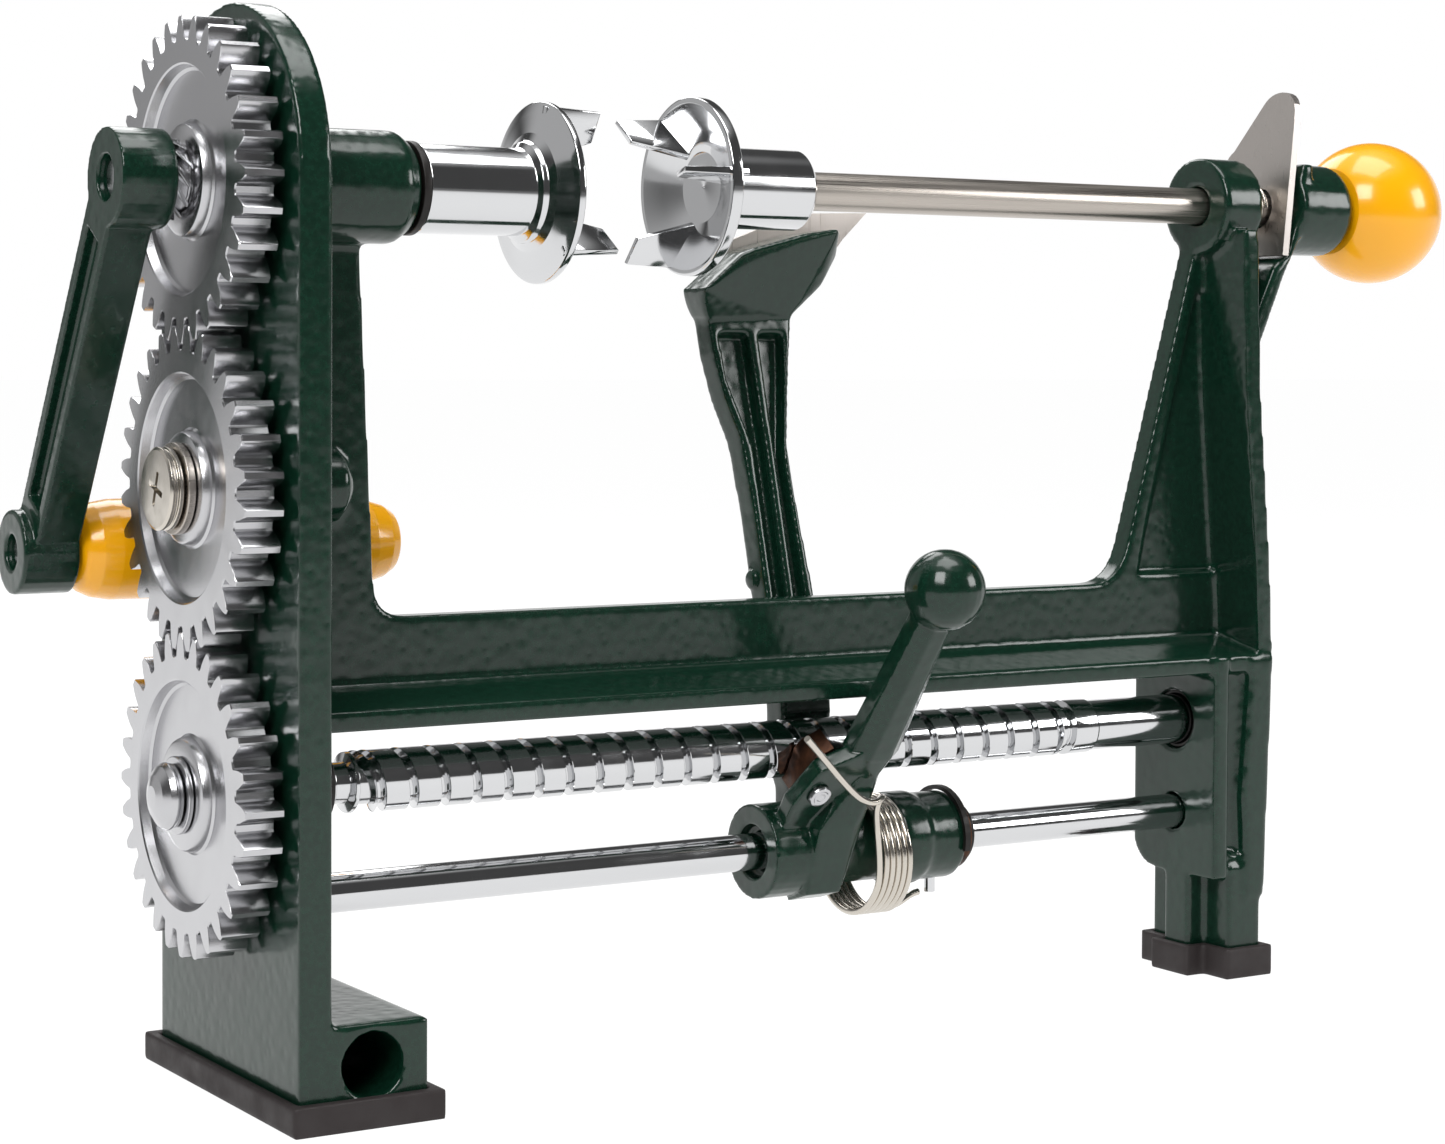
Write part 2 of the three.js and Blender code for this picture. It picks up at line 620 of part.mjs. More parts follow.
function knifeHead() {
  const front = HEAD_TOP.map(([x, z]) => [x - 1.5, HEAD_FRONT, z]);
  const rear = HEAD_TOP.map(([x, z]) => [x, HEAD_REAR, z]);
  const outline = [[138.8, 182], [165.5, 183.5], [175, 191.5], [180, 200]];
  const foot = [36.5, HEAD_REAR].flatMap((y) => outline.map(([x, z]) => [x, y, z]));
  return hull([...front, ...rear, ...foot]);
}

// The blade stands against the rear of the head and rises above it.
function knifeBlade() {
  const outline = polygon([
    [146, 190], [146, 202], [163, 208.3], [178, 212], [196, 212.6], [188, 205], [183, 199], [172, 194],
  ]);
  const strip = slabXZ(outline, HEAD_REAR + GAP, HEAD_REAR + 1.9);
  return cut(strip, ...BLADE_SCREWS.map((place) => alongY(place, 1.4 + GAP, 36, 60)));
}

function alongY([x, z], r, low, high, segments = 16) {
  return solid(new THREE.CylinderGeometry(r, r, high - low, segments).translate(x, (low + high) / 2, z));
}

function bladeScrew(place) {
  const seat = HEAD_REAR + 1.9 + GAP;
  return join(alongY(place, 1.4, 39, seat + 0.5, 12), alongY(place, 3, seat, seat + 1.8, 20));
}

// A coil that hangs round the neck of the knife arm. One leg rises and hooks round the foot of the
// lever's stem, and the other runs along under the sleeve to the pin.
function torsionSpring() {
  const coil = { x: 159.4, pitch: 1.85, turns: 5, r: 15.2, z: GUIDE_Z - 3.2 };
  const perTurn = 12;
  const steps = (coil.turns + 0.25) * perTurn;
  const points = [
    [126, -19.5, 76.5],
    [137, -22.5, 70],
    [146, -25.5, 64],
    [154, -26.5, 62],
    [162, -23.5, 61],
    [162.6, -19, 56],
  ];
  for (let i = 1; i <= steps; i += 1) {
    const a = (2 * Math.PI * i) / perTurn + Math.PI;
    points.push([coil.x + (coil.pitch * i) / perTurn, coil.r * Math.cos(a), coil.z + coil.r * Math.sin(a)]);
  }
  points.push([176, 1.5, 26.6], [183.4, 1.5, 29.6]);
  return wire(points, 0.75, 90, 6);
}

// ---------------------------------------------------------------- release lever
const leverPoint = (x, reach, across) => [
  x,
  -reach * Math.sin(LEVER_LEAN) + across * Math.cos(LEVER_LEAN),
  GUIDE_Z + reach * Math.cos(LEVER_LEAN) + across * Math.sin(LEVER_LEAN),
];

// Octagonal section of the stem at a distance from the guide rod's axis.
function stemSection(reach, halfWide, halfDeep) {
  const points = [];
  const stretch = 1 / Math.cos(Math.PI / 8);
  const middle = LEVER_X + LEVER_LEAN_X * (reach - 26);
  for (let i = 0; i < 8; i += 1) {
    const a = (2 * Math.PI * (i + 0.5)) / 8;
    const x = middle + halfWide * stretch * Math.cos(a);
    points.push(leverPoint(x, reach, halfDeep * stretch * Math.sin(a)));
  }
  return points;
}

// The lever: a hub on the guide rod, a cheek up its front, a flat wing for the half nut, a stem and a ball.
function releaseLever() {
  const stem = hull([...stemSection(33, 7.6, 5.2), ...stemSection(LEVER_BALL.reach - 4, 5.4, 5)]);
  const root = hull([...stemSection(34, 7.6, 5.2), ...stemSection(26.5, 4.8, 4.6)]);
  const [x, y, z] = leverPoint(LEVER_X + LEVER_LEAN_X * 58, LEVER_BALL.reach, 0);
  const ball = solid(new THREE.SphereGeometry(LEVER_BALL.r, 28, 18).rotateX(Math.PI / 2).translate(x, y, z));
  const cheek = hull([
    ...stemSection(27, 5, 4.6),
    ...[[-4, -13.6], [-11, -8], [14, -9], [12, 8], [-3, 6]].flatMap(([reach, across]) => [
      leverPoint(LEVER_HUB.end - 7, reach, across),
      leverPoint(LEVER_HUB.end + 3.5, reach, across),
    ]),
  ]);
  const wing = hull(
    [[132.5, 11], [132.5, 19], [137, 30], [150, 36], [150, 11]].flatMap(([wingX, reach]) => [
      leverPoint(wingX, reach, -4.4),
      leverPoint(wingX, reach, 0.6),
    ]),
  );
  const hub = bar(LEVER_HUB.start, LEVER_HUB.end, LEVER_HUB.r, GUIDE_Z, 32);
  return cut(
    join(stem, root, ball, cheek, wing, hub),
    bar(LEVER_HUB.start - 1, LEVER_HUB.end + 1, GUIDE_R + GAP, GUIDE_Z, 24),
    bar(LEVER_HUB.start - 1, LEVER_HUB.start + 3, 7, GUIDE_Z, 28),
    bar(LEVER_HUB.end, 175, KNIFE_NECK.r + 0.5, GUIDE_Z, 32),
    bar(100, 200, SCREW_R + 1.2, SCREW_Z, 32),
    rivetHole(),
  );
}

const RIVET = { x: 139, reach: 22.5, r: 2.1 };

// A pin through the lever, square to its plane, between two distances from that plane.
function acrossLever(r, from, to, segments = 16) {
  const pin = solid(new THREE.CylinderGeometry(r, r, to - from, segments).translate(0, (from + to) / 2, 0));
  const [x, y, z] = leverPoint(RIVET.x, RIVET.reach, 0);
  return pin.rotate(THREE.MathUtils.radToDeg(LEVER_LEAN), 0, 0).translate(x, y, z);
}

function rivetHole() {
  return acrossLever(RIVET.r + GAP, -20, 20);
}

function halfNutRivet() {
  return join(acrossLever(RIVET.r, -5, 4), acrossLever(3.7, -6.2, -4.7, 20));
}

// A bronze tongue on the lever that closes on the flank of the lead screw.
function halfNut() {
  const corners = [];
  for (const x of [135.8, 142.7]) {
    corners.push(leverPoint(x, 18, 0.9), leverPoint(x, 34, 0.9));
    corners.push(leverPoint(x, 34, 9), leverPoint(x, 18, 12));
  }
  return cut(
    hull(corners),
    bar(120, 160, SCREW_R + 0.5, SCREW_Z, 28),
    bar(120, 160, LEVER_HUB.r + GAP, GUIDE_Z, 32),
    acrossLever(RIVET.r + GAP, 0, 20),
  );
}

// ---------------------------------------------------------------- tailstock
const LOCK_PLATE = { x: 300, thick: 2.2, foot: 201.4, top: 248, tilt: 6 };

function lockPlate() {
  const outline = new THREE.Shape();
  outline.moveTo(-12, LOCK_PLATE.foot);
  outline.lineTo(15, LOCK_PLATE.foot);
  outline.lineTo(15.5, 226);
  outline.quadraticCurveTo(15.5, 230, 12, 232);
  outline.lineTo(1, 245);
  outline.quadraticCurveTo(-1.5, LOCK_PLATE.top, -6, LOCK_PLATE.top);
  outline.quadraticCurveTo(-12, LOCK_PLATE.top, -12, 240);
  const blank = slabYZ(outline, -LOCK_PLATE.thick / 2, LOCK_PLATE.thick / 2, 6);
  const plate = cut(blank, bar(-5, 5, TAIL_ROD_R + 0.9, TAIL_Z, 24));
  const foot = LOCK_PLATE.foot;
  return plate.translate(0, 0, -foot).rotate(0, LOCK_PLATE.tilt, 0).translate(LOCK_PLATE.x, 0, foot);
}

function lockSpring() {
  const points = [];
  const turns = 3;
  const perTurn = 12;
  for (let i = 0; i <= turns * perTurn; i += 1) {
    const a = (2 * Math.PI * i) / perTurn;
    points.push([291.5 + (5.8 * i) / (turns * perTurn), 6.6 * Math.cos(a), TAIL_Z + 6.6 * Math.sin(a)]);
  }
  return wire(points, 0.6, turns * 14, 6);
}

const BALL = { x: 343.9, r: 20.5, flat: 327.6 };

function ballKnob() {
  const sphere = new THREE.SphereGeometry(BALL.r, 36, 24).rotateZ(Math.PI / 2).translate(BALL.x, 0, TAIL_Z);
  return cut(
    solid(sphere),
    block([300, -30, 180], [BALL.flat, 30, 240]),
    bar(300, 345.5, TAIL_ROD_R + GAP, TAIL_Z, 24),
  );
}

function spindleBush() {
  const profile = [[-15.2, 0], [-15.2, BUSH_R], [29.8, BUSH_R], [29.8, 11.3], [31.7, 11.3], [31.7, 0]];
  return cut(turned(profile, 0, SPINDLE_Z, 28), bar(-17, 33, SPINDLE_R + GAP, SPINDLE_Z, 28));
}

// ---------------------------------------------------------------- pieces
add("frame_casting", frameCasting(), "enamel");
add("left_foot_pad", leftFootPad(), "rubber");
add("right_foot_pad", rightFootPad(), "rubber");

add("spindle_bush", spindleBush(), "black");
add("spindle_shaft", spindleShaft(), "zinc");
add("drive_fork", driveFork(), "chrome");
add("spindle_gear", gear(SPINDLE_Z, SPINDLE_R + GAP, 0), "zinc");
add("crank_washer", starWasher(), "zinc");
add("crank_arm", crankArm(), "enamel");
add("crank_grip", crankGrip(), "yellow");
add("grip_bolt", gripBolt(), "zinc");

add("idler_bush", ring(-26.8, -16, 5 + GAP, 7, IDLER_Z, 24), "bronze");
add("idler_gear", gear(IDLER_Z, 7 + GAP, 0.5), "zinc");
add("idler_washer", ring(-29.2, -27.3, 5 + GAP, 10.6, IDLER_Z, 28), "stainless");
add("idler_screw", idlerScrew(), "nickel");

add("screw_bush", ring(-15.2, 8, 6.5 + GAP, 9, SCREW_Z, 28), "black");
add("lead_screw", leadScrew(), "chrome");
add("screw_gear", gear(SCREW_Z, 6 + GAP, 0), "zinc");
add("screw_flat_washer", ring(-28.5, -27.3, 3 + GAP, 9, SCREW_Z, 28), "zinc");
add("screw_spring_washer", splitRing(-29.9, -28.8, 3 + GAP, 7.4, SCREW_Z), "zinc");
add("screw_bolt", screwBolt(), "zinc");
add("screw_end_bush", ring(END_BUSH.start, 279, SCREW_SHANK_R + GAP, END_BUSH.r, SCREW_Z, 28), "black");
add("guide_rod", bar(-12, 280.5, GUIDE_R, GUIDE_Z, 28), "chrome");

add("knife_arm", knifeArm(), "enamel");
add("knife_blade", knifeBlade(), "stainless");
add("blade_screw_left", bladeScrew(BLADE_SCREWS[0]), "zinc");
add("blade_screw_right", bladeScrew(BLADE_SCREWS[1]), "zinc");
add("torsion_spring", torsionSpring(), "nickel");
add("sleeve_pin", sleevePin(1.5, 8.5, GUIDE_Z - 11, 14), "chrome");
add("end_washer", ring(190.3, 193.2, GUIDE_R + GAP, 9.4, GUIDE_Z, 28), "bronze");
add("retaining_clip", splitRing(193.5, 195.1, GUIDE_R + GAP, 8, GUIDE_Z), "black");
add("sleeve_band", sleeveBand(), "black");
add("release_lever", releaseLever(), "enamel");
add("half_nut", halfNut(), "bronze");
add("half_nut_rivet", halfNutRivet(), "zinc");

add("tail_rod", bar(116, 345, TAIL_ROD_R, TAIL_Z, 28), "stainless");
add("tail_fork", tailFork(), "chrome");
add("lock_plate", lockPlate(), "stainless");
add("lock_spring", lockSpring(), "nickel");
add("ball_knob", ballKnob(), "yellow");

export default peeler;
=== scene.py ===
"""Hand-cranked apple peeler, built round its CAD frame. Metres; part sizes are written in millimetres."""

import json
import math

import bmesh
import bpy
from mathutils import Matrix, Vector

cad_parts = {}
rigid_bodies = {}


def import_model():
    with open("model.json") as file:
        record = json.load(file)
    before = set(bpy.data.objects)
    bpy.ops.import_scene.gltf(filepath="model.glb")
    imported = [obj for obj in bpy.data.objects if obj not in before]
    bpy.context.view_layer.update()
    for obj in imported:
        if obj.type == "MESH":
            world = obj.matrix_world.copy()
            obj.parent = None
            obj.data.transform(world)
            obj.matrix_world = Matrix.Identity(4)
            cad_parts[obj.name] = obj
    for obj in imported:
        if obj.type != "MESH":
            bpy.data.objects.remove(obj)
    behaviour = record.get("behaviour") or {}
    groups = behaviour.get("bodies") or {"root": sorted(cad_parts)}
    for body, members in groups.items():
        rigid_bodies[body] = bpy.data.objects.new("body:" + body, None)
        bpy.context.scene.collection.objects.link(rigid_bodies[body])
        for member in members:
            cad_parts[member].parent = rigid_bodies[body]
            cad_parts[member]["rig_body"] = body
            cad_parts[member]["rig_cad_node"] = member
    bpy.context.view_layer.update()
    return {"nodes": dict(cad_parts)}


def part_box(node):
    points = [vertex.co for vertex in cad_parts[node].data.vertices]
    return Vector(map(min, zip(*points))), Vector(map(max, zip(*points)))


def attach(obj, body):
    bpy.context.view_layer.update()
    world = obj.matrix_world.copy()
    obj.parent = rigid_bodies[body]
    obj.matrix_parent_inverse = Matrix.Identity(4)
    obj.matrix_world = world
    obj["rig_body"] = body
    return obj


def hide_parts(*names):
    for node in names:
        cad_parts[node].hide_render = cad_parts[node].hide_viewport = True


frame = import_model()

MM = 0.001
CLEARANCE = 0.3  # between a shaft and its bore
SPINDLE_R = 7.0
STUB_R = 5.0  # the threaded end of the spindle, in the crank's hub
GUIDE_R = 4.75
TAIL_ROD_R = 5.0
IDLER_PIN_R = 5.0
DRIVE_PRONGS = (105, 225, 345)  # degrees round the axis, from +Y towards +Z
TAIL_PRONGS = (52, 172, 292)


# ------------------------------------------------------------------ places, from the frame
def middle(node):
    """A CAD node's middle, in millimetres."""
    low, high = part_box(node)
    return (low + high) / (2 * MM)


def span_x(node):
    """A CAD node's lowest and highest x, in millimetres."""
    low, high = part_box(node)
    return low.x / MM, high.x / MM


SPINDLE_Z = middle("spindle_shaft").z
TAIL_Z = middle("tail_rod").z
IDLER_Z = middle("idler_washer").z
SCREW_Z = middle("lead_screw").z
GUIDE_Z = middle("guide_rod").z
GRIP_Y, GRIP_Z = middle("crank_grip").y, middle("crank_grip").z
LEVER_LEAN = math.radians(34)  # the lever stands forward of upright by this much


# ------------------------------------------------------------------ materials
def srgb(r, g, b):
    """An sRGB colour of 0 to 255 as linear RGBA."""
    def linear(value):
        value /= 255
        return value / 12.92 if value <= 0.04045 else ((value + 0.055) / 1.055) ** 2.4
    return linear(r), linear(g), linear(b), 1.0


class Material:
    """A Principled material with its nodes at hand."""

    def __init__(self, name, colour, roughness, metallic=0.0, coat=0.0):
        self.material = bpy.data.materials.new(name)
        self.material.use_nodes = True
        self.tree = self.material.node_tree
        self.shader = self.tree.nodes["Principled BSDF"]
        self.shader.inputs["Base Color"].default_value = colour
        self.shader.inputs["Roughness"].default_value = roughness
        self.shader.inputs["Metallic"].default_value = metallic
        self.shader.inputs["Coat Weight"].default_value = coat
        self.shader.inputs["Coat Roughness"].default_value = 0.05
        self.place = self.tree.nodes.new("ShaderNodeTexCoord")

    def node(self, kind, **inputs):
        made = self.tree.nodes.new(kind)
        for name, value in inputs.items():
            made.inputs[name.replace("_", " ")].default_value = value
        return made

    def link(self, source, target):
        self.tree.links.new(source, target)

    def stretched(self, x=1.0, y=1.0, z=1.0):
        """Object coordinates, scaled on each axis."""
        mapping = self.node("ShaderNodeMapping", Scale=(x, y, z))
        self.link(self.place.outputs["Object"], mapping.inputs["Vector"])
        return mapping.outputs["Vector"]

    def noise(self, where, scale, detail=2.0, rough=0.5):
        made = self.node("ShaderNodeTexNoise", Scale=scale, Detail=detail, Roughness=rough)
        self.link(where, made.inputs["Vector"])
        return made.outputs["Fac"]

    def ramp(self, value, low, high, target, start=0.3, end=0.7):
        """Runs a shader input from low to high as value goes from start to end."""
        made = self.node("ShaderNodeMapRange", From_Min=start, From_Max=end, To_Min=low, To_Max=high)
        self.link(value, made.inputs["Value"])
        self.link(made.outputs["Result"], self.shader.inputs[target])

    def tint(self, value, dark, light, start=0.3, end=0.7):
        """Colours the surface from dark to light as value goes from start to end."""
        ramp = self.tree.nodes.new("ShaderNodeValToRGB")
        ramp.color_ramp.elements[0].position = start
        ramp.color_ramp.elements[0].color = dark
        ramp.color_ramp.elements[1].position = end
        ramp.color_ramp.elements[1].color = light
        self.link(value, ramp.inputs["Fac"])
        self.link(ramp.outputs["Color"], self.shader.inputs["Base Color"])

    def bump(self, value, strength, distance, coat_too=False):
        made = self.node("ShaderNodeBump", Strength=strength, Distance=distance)
        self.link(value, made.inputs["Height"])
        self.link(made.outputs["Normal"], self.shader.inputs["Normal"])
        if coat_too:
            self.link(made.outputs["Normal"], self.shader.inputs["Coat Normal"])


def enamel():
    """Dark green hammered enamel over a rough casting: soft dimples under a wet gloss."""
    made = Material("enamel", srgb(12, 42, 30), 0.18)
    where = made.stretched()
    cells = made.node("ShaderNodeTexVoronoi", Scale=330.0)
    cells.feature = "SMOOTH_F1"
    cells.inputs["Smoothness"].default_value = 0.9
    made.link(where, cells.inputs["Vector"])
    swell = made.noise(where, 45.0, 3.0)
    mix = made.node("ShaderNodeMath")
    mix.operation = "ADD"
    made.link(cells.outputs["Distance"], mix.inputs[0])
    made.link(swell, mix.inputs[1])
    made.tint(made.noise(where, 700.0, 2.0), srgb(10, 37, 26), srgb(15, 47, 34), 0.35, 0.7)
    made.bump(mix.outputs["Value"], 0.16, 0.0006)
    return made.material


def chrome():
    """Bright chrome plate."""
    made = Material("chrome", (0.64, 0.645, 0.655, 1), 0.08, metallic=1.0)
    made.ramp(made.noise(made.stretched(), 90.0, 3.0), 0.06, 0.14, "Roughness")
    return made.material


def zinc():
    """Zinc plate on machined gears: bright, with a fine grain."""
    made = Material("zinc", (0.54, 0.54, 0.555, 1), 0.24, metallic=1.0)
    made.ramp(made.noise(made.stretched(), 180.0, 3.0), 0.22, 0.27, "Roughness")
    made.bump(made.noise(made.stretched(), 1500.0, 2.0), 0.04, 0.0002)
    return made.material


def stainless():
    """Stainless bar and sheet, drawn along X, a little warm."""
    made = Material("stainless", (0.47, 0.43, 0.39, 1), 0.3, metallic=1.0)
    grain = made.noise(made.stretched(6.0, 900.0, 900.0), 3.0, 3.0)
    made.ramp(grain, 0.22, 0.42, "Roughness")
    made.bump(grain, 0.05, 0.0001)
    return made.material


def plate_steel():
    """Stainless sheet with a vertical grain."""
    made = Material("plate_steel", (0.58, 0.54, 0.51, 1), 0.36, metallic=1.0)
    grain = made.noise(made.stretched(900.0, 900.0, 12.0), 3.0, 3.0)
    made.ramp(grain, 0.26, 0.46, "Roughness")
    made.bump(grain, 0.06, 0.0001)
    return made.material


def nickel():
    """Warm nickel plate on the springs and the idler's screw."""
    made = Material("nickel", (0.6, 0.56, 0.5, 1), 0.18, metallic=1.0)
    made.ramp(made.noise(made.stretched(), 200.0, 3.0), 0.13, 0.28, "Roughness")
    return made.material


def rubber():
    """Moulded dark rubber."""
    made = Material("rubber", srgb(38, 31, 31), 0.62)
    made.ramp(made.noise(made.stretched(), 120.0, 3.0), 0.5, 0.75, "Roughness")
    made.bump(made.noise(made.stretched(), 1200.0, 2.0), 0.1, 0.0002)
    return made.material


def yellow():
    """Glossy yellow plastic."""
    made = Material("yellow", srgb(252, 176, 4), 0.22, coat=0.4)
    made.shader.inputs["Subsurface Weight"].default_value = 0.08
    made.shader.inputs["Subsurface Radius"].default_value = (0.004, 0.002, 0.0005)
    made.bump(made.noise(made.stretched(), 60.0, 2.0), 0.03, 0.0004)
    return made.material


def bronze():
    """Dull copper-brown bronze, its colour darkened to the tone the half-nut's tongue has in shade: painted
    shade on every bronze piece.
    """
    made = Material("bronze", srgb(70, 47, 36), 0.45, metallic=0.9)
    # both tint colours are painted shade, darker than the bronze's own colour
    made.tint(made.noise(made.stretched(), 350.0, 3.0), srgb(46, 32, 26), srgb(88, 57, 40))
    return made.material


def black():
    """Black oxide and sintered bushes."""
    made = Material("black", srgb(24, 20, 18), 0.45, metallic=0.3)
    made.ramp(made.noise(made.stretched(), 400.0, 3.0), 0.36, 0.55, "Roughness")
    return made.material


MATERIALS = {make.__name__: make() for make in (
    enamel, chrome, zinc, stainless, plate_steel, nickel, rubber, yellow, bronze, black)}


# ------------------------------------------------------------------ making pieces
def finish_piece(obj, node, body, material, sharp=32):
    """Paints and shades a piece, and puts it on its body in place of its CAD node.
    Edges turned by more than sharp degrees stay sharp; 0 leaves every edge smooth."""
    mesh = obj.data
    mesh.materials.clear()
    mesh.materials.append(MATERIALS[material])
    for face in mesh.polygons:
        face.use_smooth = True
    if sharp:
        mesh.set_sharp_from_angle(angle=math.radians(sharp))
    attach(obj, body)
    if node:
        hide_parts(node)
    return obj


def new_object(name, bm):
    """An object from a bmesh in millimetres."""
    bmesh.ops.scale(bm, vec=(MM, MM, MM), verts=bm.verts)
    bmesh.ops.recalc_face_normals(bm, faces=bm.faces)
    mesh = bpy.data.meshes.new(name)
    bm.to_mesh(mesh)
    bm.free()
    obj = bpy.data.objects.new(name, mesh)
    bpy.context.scene.collection.objects.link(obj)
    return obj


def baked(obj):
    """The object with its modifiers applied."""
    bpy.context.view_layer.update()
    evaluated = obj.evaluated_get(bpy.context.evaluated_depsgraph_get())
    mesh = bpy.data.meshes.new_from_object(evaluated)
    obj.modifiers.clear()
    obj.data = mesh
    return obj


def bevelled(obj, width, segments=3, angle=40):
    """The object with its sharp edges rounded; width is in millimetres."""
    bevel = obj.modifiers.new("bevel", "BEVEL")
    bevel.width = width * MM
    bevel.segments = segments
    bevel.limit_method = "ANGLE"
    bevel.angle_limit = math.radians(angle)
    return baked(obj)


def rounded(points, radius, steps=4):
    """An open run of 2-D points with each inner corner turned into a small arc."""
    slight_turn = 0.12  # radians; corners this flat are left alone
    out = [Vector(points[0])]
    for before, corner, after in zip(points, points[1:], points[2:]):
        corner = Vector(corner)
        back, ahead = Vector(before) - corner, Vector(after) - corner
        turn = math.pi - back.angle(ahead)
        if turn < slight_turn:
            out.append(corner)
            continue
        reach = min(radius * math.tan(turn / 2), back.length * 0.45, ahead.length * 0.45)
        start, end = corner + back.normalized() * reach, corner + ahead.normalized() * reach
        for i in range(steps + 1):
            t = i / steps
            out.append(start * (1 - t) ** 2 + corner * 2 * t * (1 - t) + end * t * t)
    out.append(Vector(points[-1]))
    return out


def lathe_into(bm, profile, y, z, segments=96, radius=0.35):
    """Adds a turned piece along X: the profile is (x, radius) pairs from axis to axis, or a closed loop."""
    closed = profile[0] == profile[-1] and profile[0][1] > 0
    points = rounded(profile, radius)
    if closed:
        points = points[:-1]
    rings = []
    for x, r in points:
        if r < 1e-6:
            rings.append([bm.verts.new((x, y, z))] * segments)
            continue
        turn = [2 * math.pi * k / segments for k in range(segments)]
        rings.append([bm.verts.new((x, y + r * math.cos(a), z + r * math.sin(a))) for a in turn])
    pairs = list(zip(rings, rings[1:])) + ([(rings[-1], rings[0])] if closed else [])
    for one, two in pairs:
        for k in range(segments):
            j = (k + 1) % segments
            corners = list(dict.fromkeys((one[k], one[j], two[j], two[k])))
            if len(corners) > 2:
                bm.faces.new(corners)


def turned(name, profile, y, z, segments=96, radius=0.35):
    bm = bmesh.new()
    lathe_into(bm, profile, y, z, segments, radius)
    return new_object(name, bm)


def tube_profile(x0, x1, inner, outer):
    """The closed section of a plain ring."""
    return [(x0, inner), (x0, outer), (x1, outer), (x1, inner), (x0, inner)]


def ring(name, node, body, material, z, inner, radius):
    """A plain ring in its CAD node's place, its edges rounded to a radius."""
    low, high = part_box(node)
    outer = (high.z - low.z) / (2 * MM)
    x0, x1 = span_x(node)
    obj = turned(name, tube_profile(x0, x1, inner, outer), 0, z, 72, radius)
    finish_piece(obj, node, body, material)


def prism_into(bm, outline, place, depth):
    """Adds an extruded outline; place maps (a, b, c) to x, y, z, with c along the depth."""
    low = [bm.verts.new(place(a, b, 0)) for a, b in outline]
    high = [bm.verts.new(place(a, b, depth)) for a, b in outline]
    bm.faces.new(low)
    bm.faces.new(reversed(high))
    for k in range(len(outline)):
        j = (k + 1) % len(outline)
        bm.faces.new((low[k], low[j], high[j], high[k]))


def wire(name, points, radius, steps=10, sides=4):
    """A round wire through the points, in millimetres."""
    curve = bpy.data.curves.new(name, "CURVE")
    curve.dimensions = "3D"
    curve.bevel_depth = radius * MM
    curve.bevel_resolution = sides
    curve.use_fill_caps = True
    spline = curve.splines.new("NURBS")
    spline.points.add(len(points) - 1)
    for knot, place in zip(spline.points, points):
        knot.co = (*(Vector(place) * MM), 1)
    spline.use_endpoint_u = True
    spline.order_u = 4
    spline.resolution_u = steps
    source = bpy.data.objects.new(name, curve)
    bpy.context.scene.collection.objects.link(source)
    bpy.context.view_layer.update()
    mesh = bpy.data.meshes.new_from_object(source.evaluated_get(bpy.context.evaluated_depsgraph_get()))
    bpy.data.objects.remove(source)
    obj = bpy.data.objects.new(name, mesh)
    bpy.context.scene.collection.objects.link(obj)
    return obj


def copy_of(node, name):
    """A loose copy of a CAD node's object, to be shaped further."""
    obj = frame["nodes"][node].copy()
    obj.data = obj.data.copy()
    obj.name = name
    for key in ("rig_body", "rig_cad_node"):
        if key in obj:
            del obj[key]
    obj.parent = None
    bpy.context.scene.collection.objects.link(obj)
    return obj


def cast(name, node, body, voxel, rounds, material="enamel"):
    """A CAD casting or moulding with its edges and inner corners softened: it is remeshed in voxels
    of the given size and smoothed for some rounds."""
    obj = copy_of(node, name)
    remesh = obj.modifiers.new("remesh", "REMESH")
    remesh.mode = "VOXEL"
    remesh.voxel_size = voxel * MM
    smooth = obj.modifiers.new("smooth", "SMOOTH")
    smooth.factor = 0.5
    smooth.iterations = rounds
    baked(obj)
    return finish_piece(obj, node, body, material, sharp=0)


# ------------------------------------------------------------------ frame and feet
cast("casting", "frame_casting", "frame", 0.8, 5)
cast("left_shoe", "left_foot_pad", "frame", 0.6, 4, "rubber")
cast("right_shoe", "right_foot_pad", "frame", 0.6, 6, "rubber")


# ------------------------------------------------------------------ gears
TEETH = 28
MODULE = 2.5


def gear_outline(phase):
    """Radius and angle round an involute gear, sixteen points to a tooth."""
    thinned = 0.13  # taken off each flank, as backlash
    pitch = MODULE * TEETH / 2
    pressure = math.radians(20)
    base = pitch * math.cos(pressure)
    tip, root = pitch + MODULE, pitch - 1.25 * MODULE

    def involute(angle):
        return math.tan(angle) - angle

    def half(r):
        roll = math.acos(min(1, base / r))
        return math.pi / (2 * TEETH) + involute(pressure) - involute(roll) - thinned / pitch

    flank = [(root, half(base) + 0.022), (root + 0.35, half(base) + 0.006)]
    flank += [(r, half(r)) for r in (base + 0.4, pitch - 0.9, pitch, pitch + 1.2, tip - 0.25)]
    flank += [(tip, half(tip - 0.25) - 0.006)]
    points = []
    for tooth in range(TEETH):
        centre = 2 * math.pi * (tooth + phase) / TEETH
        points += [(r, centre - a) for r, a in flank]
        points += [(r, centre + a) for r, a in reversed(flank)]
    return points


def spun_grid(bm, outline, rings, z):
    """A closed body of rings round X. A ring is (x, radius) for a circle, or (x, None, inset) for the
    outline, drawn in by inset."""
    made = []
    for x, r, *inset in rings:
        row = []
        for radius, a in outline:
            here = r if r is not None else radius - inset[0]
            row.append(bm.verts.new((x, here * math.cos(a), z + here * math.sin(a))))
        made.append(row)
    count = len(outline)
    for one, two in zip(made, made[1:] + made[:1]):
        for k in range(count):
            j = (k + 1) % count
            bm.faces.new((one[k], one[j], two[j], two[k]))


